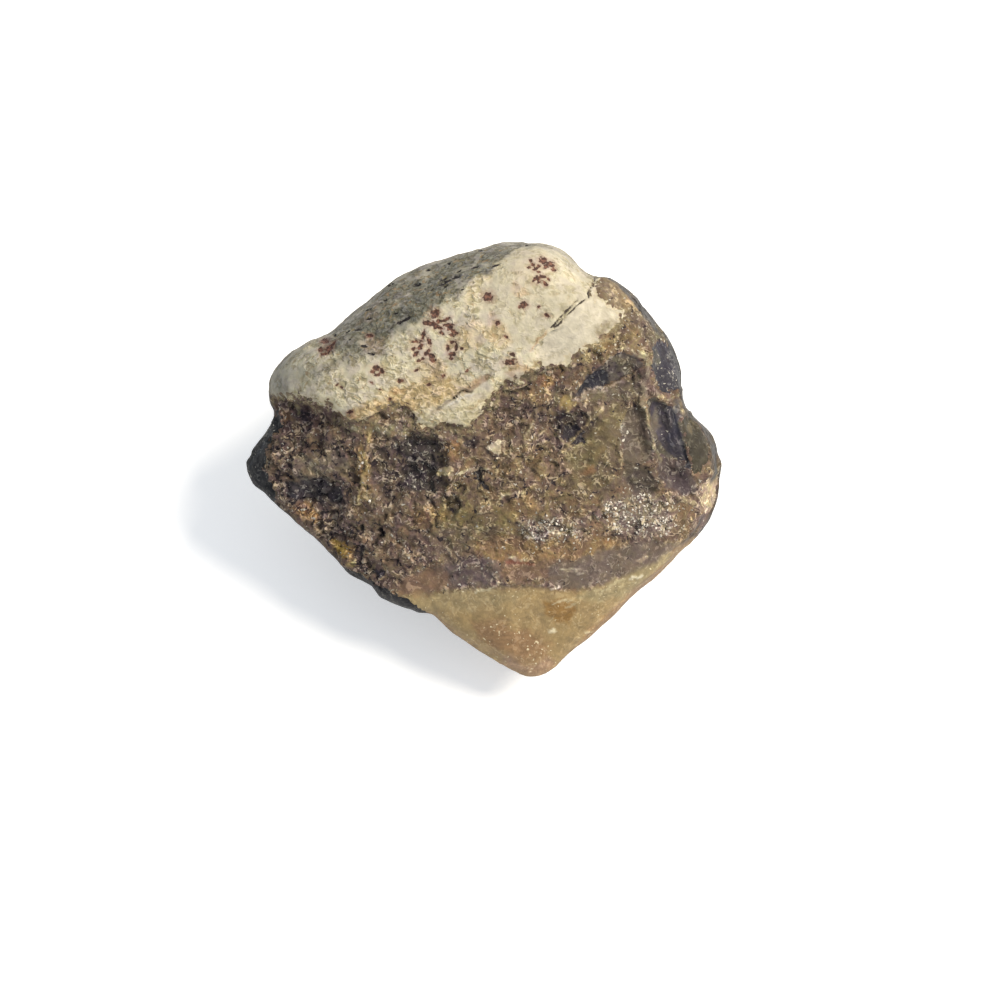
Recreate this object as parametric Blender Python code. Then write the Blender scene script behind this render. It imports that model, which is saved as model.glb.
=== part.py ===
"""A rough stone: the broken half of a nodule that still wears its chalky rind.

The stone is shaped in a frame of its own: X across the broken face, Y up the face towards the rind, and
Z out of the face. Its front is a height above that XY plane and its back a depth below it, both inside
one outline. Then it is tipped onto the flat fracture on its back that it rests on, which ends at Z = 0.
"""

import math
from collections import namedtuple

import bmesh
import bpy
import numpy as np
from mathutils import Matrix, Vector, noise

MM = 0.001

# Driving dimensions, in millimetres and degrees.
REST_TILT = 22.0  # how far the broken face is tipped from level, towards -Y, when the stone is at rest
REST_DROP = 21.0  # from the face's middle straight down to the flat that the stone rests on
FACE_HEIGHT = 10.6  # of the broken face's middle, over the plane of the outline
BROW_HEIGHT = 14.8  # of the rind's brow over the same plane
BACK_DEPTH = 30.0  # from that plane to the deepest point of the back, before the flat is made
SKIN_ROUGH = 0.35  # height of the low waves on the rind
BREAK_ROUGH = 0.6  # height of the waves and steps on the broken faces
WAVE = 6.0  # length of those waves
EVEN_FACE = 0.5  # size of the faces that the skin is remade from, before it is thinned
TRIANGLES = 8000  # how many are left after that

# The outline, seen square to the broken face: degrees counterclockwise from +X, and the radius there.
OUTLINE = (
    (0, 35.4), (8, 33.7), (15, 31.3), (25, 32.4), (40, 33.3), (54, 33.4), (60, 32.1), (70, 33.5),
    (80, 33.1), (95, 31.2), (115, 30.1), (132, 29.4), (140, 29.7), (146, 31.8), (155, 34.0),
    (161, 34.3), (168, 32.4), (174, 33.3), (180, 35.7), (187, 34.0), (195, 30.8), (206, 27.6),
    (220, 26.2), (235, 24.9), (250, 24.3), (262, 26.6), (270, 29.0), (280, 33.2), (286, 33.5),
    (295, 31.7), (308, 30.7), (320, 30.6), (332, 32.3), (341, 34.3), (350, 35.6), (356, 35.7),
)

# The edge of the rind on the front, from the nose on the left to the notch at the upper right. The first
# point and the last four lie outside the stone and close the shape round its top.
RIND_EDGE = (
    (-37, 10.5), (-31, 9.6), (-25.5, 9.0), (-22.5, 8.0), (-19.5, 5.1), (-17.3, 6.0), (-14.1, 8.0),
    (-11.1, 8.0), (-9.3, 5.3), (-2.4, 4.7), (1.1, 8.3), (2.3, 10.8), (6.6, 12.2), (11.9, 14.7),
    (16.1, 16.8), (20.9, 21.5), (17.1, 23.4), (16.2, 25.4), (19.5, 31), (19.5, 60), (-60, 60), (-60, 11),
)


def outline_radius(angle):
    """The outline's radius at each angle, on a smooth closed curve through OUTLINE."""
    knots, radii = (np.array(column, float) for column in zip(*OUTLINE))
    knots = np.concatenate([knots[-2:] - 360, knots, knots[:2] + 360])
    radii = np.concatenate([radii[-2:], radii, radii[:2]])
    slopes = (radii[2:] - radii[:-2]) / (knots[2:] - knots[:-2])
    angle = np.degrees(angle) % 360
    i = np.clip(np.searchsorted(knots, angle, side="right") - 1, 1, len(knots) - 3)
    span = knots[i + 1] - knots[i]
    t = (angle - knots[i]) / span
    return (
        radii[i] * (1 + 2 * t) * (1 - t) ** 2
        + slopes[i - 1] * span * t * (1 - t) ** 2
        + radii[i + 1] * t * t * (3 - 2 * t)
        + slopes[i] * span * t * t * (t - 1)
    )


def inside_by(x, y, corners):
    """How far each point lies inside the closed shape that these corners make. It is negative outside."""
    nearest = np.full(x.shape, np.inf)
    inside = np.zeros(x.shape, bool)
    for (ax, ay), (bx, by) in zip(corners, corners[1:] + corners[:1]):
        length = (bx - ax) ** 2 + (by - ay) ** 2
        along = np.clip(((x - ax) * (bx - ax) + (y - ay) * (by - ay)) / length, 0, 1)
        nearest = np.minimum(nearest, np.hypot(x - ax - along * (bx - ax), y - ay - along * (by - ay)))
        if ay != by:
            crosses = (ay > y) != (by > y)
            inside ^= crosses & (x < ax + (y - ay) / (by - ay) * (bx - ax))
    return np.where(inside, nearest, -nearest)


def plane(x, y, at, height, slopes):
    """Height of a flat fracture that passes through `height` at the point `at`."""
    return height + slopes[0] * (x - at[0]) + slopes[1] * (y - at[1])


def soft_min(a, b, radius):
    """The lower of two surfaces, with the edge between them worn to about that radius."""
    share = np.clip(0.5 + 0.5 * (b - a) / radius, 0, 1)
    return b * (1 - share) + a * share - radius * share * (1 - share)


def smooth(low, high, value):
    """0 at `low` and under, 1 at `high` and over, and a smooth ramp between."""
    t = np.clip((value - low) / (high - low), 0, 1)
    return t * t * (3 - 2 * t)


def mound(x, y, at, radii, turn):
    """1 at the middle of a turned ellipse, falling smoothly to 0 at its edge."""
    c, s = math.cos(math.radians(turn)), math.sin(math.radians(turn))
    u, v = x - at[0], y - at[1]
    out = ((c * u + s * v) / radii[0]) ** 2 + ((c * v - s * u) / radii[1]) ** 2
    return np.clip(1 - out, 0, 1) ** 1.5


def rind(x, y):
    """The outer skin of the nodule: a broad brow, the slope behind it, and the nose on the left."""
    brow = plane(x, y, (-2, 25), BROW_HEIGHT, (0.03, 0.13))
    behind = plane(x, y, (-2, 25), BROW_HEIGHT + 0.5, (0.50, -0.78))
    shoulder = plane(x, y, (13, 26), BROW_HEIGHT + 0.2, (-0.42, -0.10))
    left = plane(x, y, (-22, 12), BROW_HEIGHT - 3.0, (0.46, 0.16))
    height = soft_min(soft_min(brow, behind, 2.0), soft_min(shoulder, left, 2.0), 2.0)
    height += 1.3 * mound(x, y, (-25, 12.5), (11, 7), 25)  # the nose
    height -= 1.5 * mound(x, y, (-17, 17.5), (9, 4), 35)  # the saddle between it and the brow
    height += 0.8 * mound(x, y, (2, 18), (9, 6), 30)
    return height


# A flat fracture: a point on it, its height there, its slopes along X and Y, and how worn its edge is.
Fracture = namedtuple("Fracture", "at height slopes wear")
FRACTURES = {
    "left flank": Fracture((-17, 0), 10.2, (0.38, 0.10), 1.0),
    "right of the upright ridge": Fracture((24.6, 0), 9.5, (-0.24, 0.08), 0.8),
    "right rim": Fracture((33.4, 0), 7.4, (-1.3, 0.0), 0.6),
    "right flank": Fracture((15, 0), 11.0, (-0.16, 0.16), 1.0),
    "lower left flank": Fracture((-14.5, -18.5), 2.6, (0.28, 0.38), 1.5),
    "smooth wedge": Fracture((3, -19.3), 7.6, (-0.10, 0.44), 0.6),
    "slate tip": Fracture((-32.6, 1), 3.8, (1.7, -0.35), 0.5),
    "below the slate tip": Fracture((-31.5, -6.0), 3.2, (1.3, 1.1), 0.5),
    "slate ledge": Fracture((-12.3, -21.0), 2.6, (0.86, 1.58), 0.4),
}

# A low swelling, or a hollow where the height is negative: its height, middle, radii and turn.
Swelling = namedtuple("Swelling", "height at radii turn")
SWELLINGS = (
    Swelling(0.7, (-17.3, -2), (2.4, 9), 12),
    Swelling(-1.3, (-10.0, -0.8), (5.6, 6.4), 0),
    Swelling(-0.7, (-27, 5), (6, 4), 0),
    Swelling(0.8, (3, -6), (9, 6), 20),
    Swelling(-0.8, (4, 6), (7, 4), -20),
    Swelling(0.8, (24.2, 9), (1.6, 9), 8),  # the upright ridge
    Swelling(-0.9, (2, -13), (13, 4), -4),
    Swelling(-0.7, (6, -26), (13, 5), 8),
)


def broken_face(x, y):
    """The fractures that opened the nodule."""
    face = plane(x, y, (0, 0), FACE_HEIGHT, (0.03, 0.13))
    for cut in FRACTURES.values():
        face = soft_min(face, plane(x, y, cut.at, cut.height, cut.slopes), cut.wear)
    for low in SWELLINGS:
        face += low.height * mound(x, y, low.at, low.radii, low.turn)
    return face


# The scar of a flake: its corners, then its floor as a point, the depth there and the slopes of that
# depth, then the steepness of its walls.
Chip = namedtuple("Chip", "corners at depth slopes wall")
CHIPS = {
    "fresh chip at the end of the rind": Chip(
        ((7, 17), (10.8, 19.5), (16.2, 24.5), (17, 23.4), (21.2, 21.4), (16.1, 16.8), (11.9, 14.7),
         (8, 13.5)),
        (13, 20), 1.0, (-0.03, 0.05), 1.2,
    ),
    "crescent": Chip(
        ((13.6, 9.0), (16.0, 11.9), (18.3, 14.1), (20.9, 15.3), (24.0, 14.2), (23.8, 11.5), (21.0, 10.6),
         (18.4, 9.4), (16.0, 8.6)),
        (18.8, 12.4), 2.2, (-0.05, 0.30), 0.75,
    ),
    "right shoulder": Chip(
        ((24.9, 17.2), (25.8, 19.0), (29, 20.5), (33, 17), (33, 10.8), (28.4, 8.8), (26.5, 8.7),
         (25.0, 10.4)),
        (26.3, 12), 2.0, (-0.45, 0.05), 1.3,
    ),
    "long trough": Chip(
        ((23.9, 8.3), (24.7, 9.4), (28.4, 7.4), (29.2, 4.4), (30.2, 1.3), (31.2, -1.0), (32.4, -5.8),
         (26.6, -4.7), (25.3, 0.4), (24.3, 4.3)),
        (25.6, 3.0), 2.2, (-0.60, -0.18), 1.5,
    ),
    "outside the trough": Chip(
        ((29.4, 7.0), (30.2, 4.0), (31.3, -1.0), (33.1, -0.6), (33.6, 3.6), (31.5, 6.6)),
        (31.6, 3), 0.6, (0.1, 0.05), 1.2,
    ),
    "left of the upright ridge": Chip(
        ((21.2, 7.4), (23.5, 8.1), (24.0, 4.4), (24.9, 1.4), (25.3, 0.1), (22.6, -1.0), (20.8, 1.5),
         (20.4, 5.2)),
        (23, 3), 1.0, (0.25, 0.0), 1.8,
    ),
    "right rim": Chip(
        ((32.8, -2.6), (40, -2.0), (40, -8.6), (33.4, -8.2), (32.2, -6.0)), (34, -5), 1.2, (0.6, 0.0), 1.4
    ),
    "left flank": Chip(
        ((-31, -3), (-27, 0.5), (-20.5, -2.5), (-19.5, -7), (-22, -12), (-28, -9)),
        (-24, -5), 0.6, (0.06, -0.04), 0.35,
    ),
}


def chip_depth(x, y, chip):
    walls = chip.wall * np.clip(inside_by(x, y, chip.corners), 0, None)
    floor = np.clip(plane(x, y, chip.at, chip.depth, chip.slopes), 0, None)
    return np.minimum(walls, floor)


def front_height(x, y):
    """Height of the front: the rind above its edge, the broken face below, and the chips in both."""
    face = broken_face(x, y)
    height = face + (rind(x, y) - face) * smooth(-0.9, 0.6, inside_by(x, y, RIND_EDGE))
    for chip in CHIPS.values():
        height -= chip_depth(x, y, chip)
    return height


BACK_FRACTURES = {
    "behind the lower left": Fracture((-12, -21), 2.2, (0.50, 0.86), 2.0),
    "behind the lower right": Fracture((17.7, -25.2), 2.0, (-0.72, 0.80), 1.5),
    "right side": Fracture((35, -3), 3.0, (-1.15, 0.20), 1.5),
    "left side": Fracture((-34, 0), 3.0, (1.30, -0.15), 2.0),
}


def back_depth(x, y):
    """Depth of the back: the nodule's round skin above, cut by old fractures below and beside it."""
    depth = BACK_DEPTH * (1 - 0.00035 * (x + 3) ** 2)
    for cut in BACK_FRACTURES.values():
        depth = soft_min(depth, plane(x, y, cut.at, cut.height, cut.slopes), cut.wear)
    return depth


def skin_share(x, y, z):
    """1 where the outside is the nodule's rind and 0 where it is broken, on the front and the back."""
    front = inside_by(x, y, RIND_EDGE)
    back = plane(x, y, (0, 21.3), 0, (-0.35, 1)) - 1.5 * z
    return smooth(-1, 1, np.where(z >= 0, front, back))


def shape_stone(points):
    """Moves the points of a unit sphere onto the stone, in millimetres."""
    nx, ny, nz = points.T
    out = np.minimum(np.hypot(nx, ny), 1)
    angle = np.arctan2(ny, nx)
    # The outline's notches fade away from the rim, so that they run only a little way down the sides.
    plump = np.mean([outline_radius(angle + turn) for turn in np.linspace(-0.5, 0.5, 7)], axis=0)
    radius = plump + (outline_radius(angle) - plump) * out**6
    x = out * radius * np.cos(angle)
    y = out * radius * np.sin(angle)
    # Front and back meet at the rim. Along the rind they round over to it, as an ellipsoid does, and
    # along the broken edges below they keep their height until just before it.
    rounded = smooth(-0.10, 0.50, np.sin(angle - math.radians(15)))
    fall = 0.8 - 0.3 * rounded
    front = front_height(x, y) * (1 - out ** (30 - 21 * rounded)) ** fall
    back = -back_depth(x, y) * (1 - out ** (24 - 21.5 * rounded)) ** fall
    return np.column_stack([x, y, np.where(nz >= 0, front, back)])


def roughen(points, normals):
    """Pushes the points in and out: low waves on the rind, waves and steps on the broken faces."""
    skin = skin_share(*points.T)
    smooth_wedge = smooth(-17.5, -20.5, points[:, 1]) * (points[:, 2] > 0)
    stepped = 0.4 - 0.35 * smooth_wedge
    pushes = []
    for point, on_skin, step_share in zip(points, skin, stepped):
        at = Vector(point) / WAVE
        wave = noise.noise(at)
        step = noise.ridged_multi_fractal(at * 1.3, 0.9, 2.1, 2, 1.0, 2.0) - 1.0
        broken = BREAK_ROUGH * (wave + step_share * step)
        pushes.append(on_skin * SKIN_ROUGH * wave + (1 - on_skin) * broken)
    return points + normals * np.array(pushes)[:, None]


def set_points(mesh, points):
    mesh.vertices.foreach_set("co", points.ravel())
    mesh.update()


def build_blank():
    """The whole stone in its own frame, in millimetres, before the flat is made."""
    mesh = bpy.data.meshes.new("blank")
    ball = bmesh.new()
    bmesh.ops.create_icosphere(ball, subdivisions=7, radius=1)
    ball.to_mesh(mesh)
    ball.free()
    points = np.empty(len(mesh.vertices) * 3)
    mesh.vertices.foreach_get("co", points)
    points = shape_stone(points.reshape(-1, 3))
    set_points(mesh, points)
    normals = np.empty(len(mesh.vertices) * 3)
    mesh.vertex_normals.foreach_get("vector", normals)
    set_points(mesh, roughen(points, normals.reshape(-1, 3)))
    return mesh


def evened(mesh):
    """A copy of the mesh with its skin remade from even faces, then thinned to the fewest that hold it."""
    blank = bpy.data.objects.new("blank", mesh)
    bpy.context.collection.objects.link(blank)
    remesh = blank.modifiers.new("even surface", "REMESH")
    remesh.mode = "VOXEL"
    remesh.voxel_size = EVEN_FACE
    smoother = blank.modifiers.new("worn edges", "SMOOTH")
    smoother.iterations = 2
    even = blank.evaluated_get(bpy.context.evaluated_depsgraph_get()).data
    even.calc_loop_triangles()
    fewer = blank.modifiers.new("fewer faces", "DECIMATE")
    fewer.ratio = TRIANGLES / len(even.loop_triangles)
    result = bpy.data.meshes.new_from_object(blank.evaluated_get(bpy.context.evaluated_depsgraph_get()))
    bpy.data.objects.remove(blank)
    return result


def rest_on_flat(mesh):
    """Tips the stone to how it lies, cuts the flat that it rests on, and puts the origin under its middle."""
    tip = Matrix.Translation((0, 0, REST_DROP)) @ Matrix.Rotation(math.radians(REST_TILT), 4, "X")
    work = bmesh.new()
    work.from_mesh(mesh)
    work.transform(tip)
    cut = bmesh.ops.bisect_plane(
        work,
        geom=work.verts[:] + work.edges[:] + work.faces[:],
        plane_co=(0, 0, 0),
        plane_no=(0, 0, 1),
        clear_inner=True,
    )
    rim = [item for item in cut["geom_cut"] if isinstance(item, bmesh.types.BMEdge)]
    bmesh.ops.contextual_create(work, geom=rim)
    bmesh.ops.triangulate(work, faces=work.faces)
    bmesh.ops.recalc_face_normals(work, faces=work.faces)
    xs = [vert.co.x for vert in work.verts]
    ys = [vert.co.y for vert in work.verts]
    middle = Vector((-(min(xs) + max(xs)) / 2, -(min(ys) + max(ys)) / 2, 0))
    bmesh.ops.translate(work, verts=work.verts, vec=middle)
    bmesh.ops.scale(work, verts=work.verts, vec=(MM, MM, MM))
    work.to_mesh(mesh)
    work.free()


def stone_material():
    material = bpy.data.materials.new("chalky rind and broken core")
    material.use_nodes = True
    surface = material.node_tree.nodes["Principled BSDF"]
    surface.inputs["Base Color"].default_value = (0.23, 0.19, 0.13, 1)
    surface.inputs["Roughness"].default_value = 0.85
    surface.inputs["Metallic"].default_value = 0.0
    return material


def main():
    for old in list(bpy.data.objects):
        bpy.data.objects.remove(old)
    mesh = evened(build_blank())
    rest_on_flat(mesh)
    mesh.name = "rough_stone"
    mesh.materials.append(stone_material())
    stone = bpy.data.objects.new("rough_stone", mesh)
    bpy.context.collection.objects.link(stone)


main()
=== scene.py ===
"""Looks for a rough stone: a broken nodule that lies on its back, under soft light on a pale floor."""

import math
from functools import partial

import bmesh
import bpy
import numpy as np
from mathutils import Matrix, Vector, noise


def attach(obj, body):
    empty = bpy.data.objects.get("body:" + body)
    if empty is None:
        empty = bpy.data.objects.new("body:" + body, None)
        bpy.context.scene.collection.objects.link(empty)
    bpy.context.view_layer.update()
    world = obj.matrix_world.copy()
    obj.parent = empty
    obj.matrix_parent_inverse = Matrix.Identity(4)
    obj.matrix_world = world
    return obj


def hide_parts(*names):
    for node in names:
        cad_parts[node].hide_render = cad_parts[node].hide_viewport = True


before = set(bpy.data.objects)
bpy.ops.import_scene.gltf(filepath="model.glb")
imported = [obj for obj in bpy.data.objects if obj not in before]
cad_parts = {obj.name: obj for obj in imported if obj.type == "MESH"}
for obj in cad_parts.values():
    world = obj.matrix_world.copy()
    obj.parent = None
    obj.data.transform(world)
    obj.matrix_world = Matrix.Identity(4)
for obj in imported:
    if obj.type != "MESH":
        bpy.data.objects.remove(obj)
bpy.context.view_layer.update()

# ---------------------------------------------------------------------------------------------------
# The stone
# One broken nodule of fine-grained silica rock. It grew in limestone, so its outside is a soft, chalky
# rind. Where it was struck open, the core shows as granular brown stone with shell-shaped flake scars,
# and its last corner is a smooth, waxy, honey-coloured wedge that light gets a little way into.
# ---------------------------------------------------------------------------------------------------

MM = 0.001
FACE_TILT = math.radians(22)  # how far the broken face is tipped towards -Y
FACE_MIDDLE = Vector((-0.145, -1.106, 21.0)) * MM
FACE_TO_WORLD = Matrix.Translation(FACE_MIDDLE) @ Matrix.Rotation(FACE_TILT, 4, "X")
SKIN_FACE = 0.28  # mm across a face of the finished skin, on the side that faces up
SKIN_FACES_MOST = 98_500  # quads, so that the skin stays under 200,000 triangles
BACK = -2.0  # mm: the skin that is deeper than this has fewer and larger faces
TIP_STARTS, TIP_FULL = -30.5, -33.0  # mm across: where the left tip's blunting starts, and where it is full
TIP_ROUNDS = 30  # how often the tip is smoothed
FAR = 9.0  # mm: further than any mark reaches
WANDER_SEED = 4  # for the way in which borders wander

# Places on the stone are given in millimetres in the frame of its broken face: X across the face, Y up
# it towards the rind, and Z out of it. The outlines below are seen square to the face.

# The edge of the rind from the nose to the crack, then round outside the stone
RIND_EDGE = (
    (-37, 10.5), (-31, 9.6), (-25.5, 9.0), (-22.5, 8.0), (-19.5, 5.1), (-17.3, 6.0), (-14.1, 8.0),
    (-11.1, 8.0), (-9.3, 5.3), (-2.4, 4.7), (1.1, 8.3), (2.3, 10.8), (6.6, 12.2), (11.9, 14.7),
    (16.1, 16.8), (20.9, 21.5), (17.1, 23.4), (16.2, 25.4), (19.5, 31), (19.5, 60), (-60, 60), (-60, 11),
)
# The upper edge of the wedge, from left to right
WEDGE_TOP = (
    (-60, -17), (-11, -20.4), (-0.5, -19.2), (7.1, -18.8), (10.2, -19.2), (13.5, -19.5), (18.8, -18.3),
    (23.1, -16.1), (25.2, -15.3), (28.2, -13.1), (31.4, -11.6), (60, -4),
)
# Ends that stand out sideways: the middle, length, width, turn, and the push along X and Y
BULGES = (
    ((-36.0, -2.4), 8.0, 5.5, 0, (-0.9, 0.0)), ((-12.1, -21.0), 8.4, 4.2, -29.5, (-0.5, -0.87)),
    ((36.0, -2.9), 3.0, 7.0, 0, (0.45, 0.0)),
)
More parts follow.
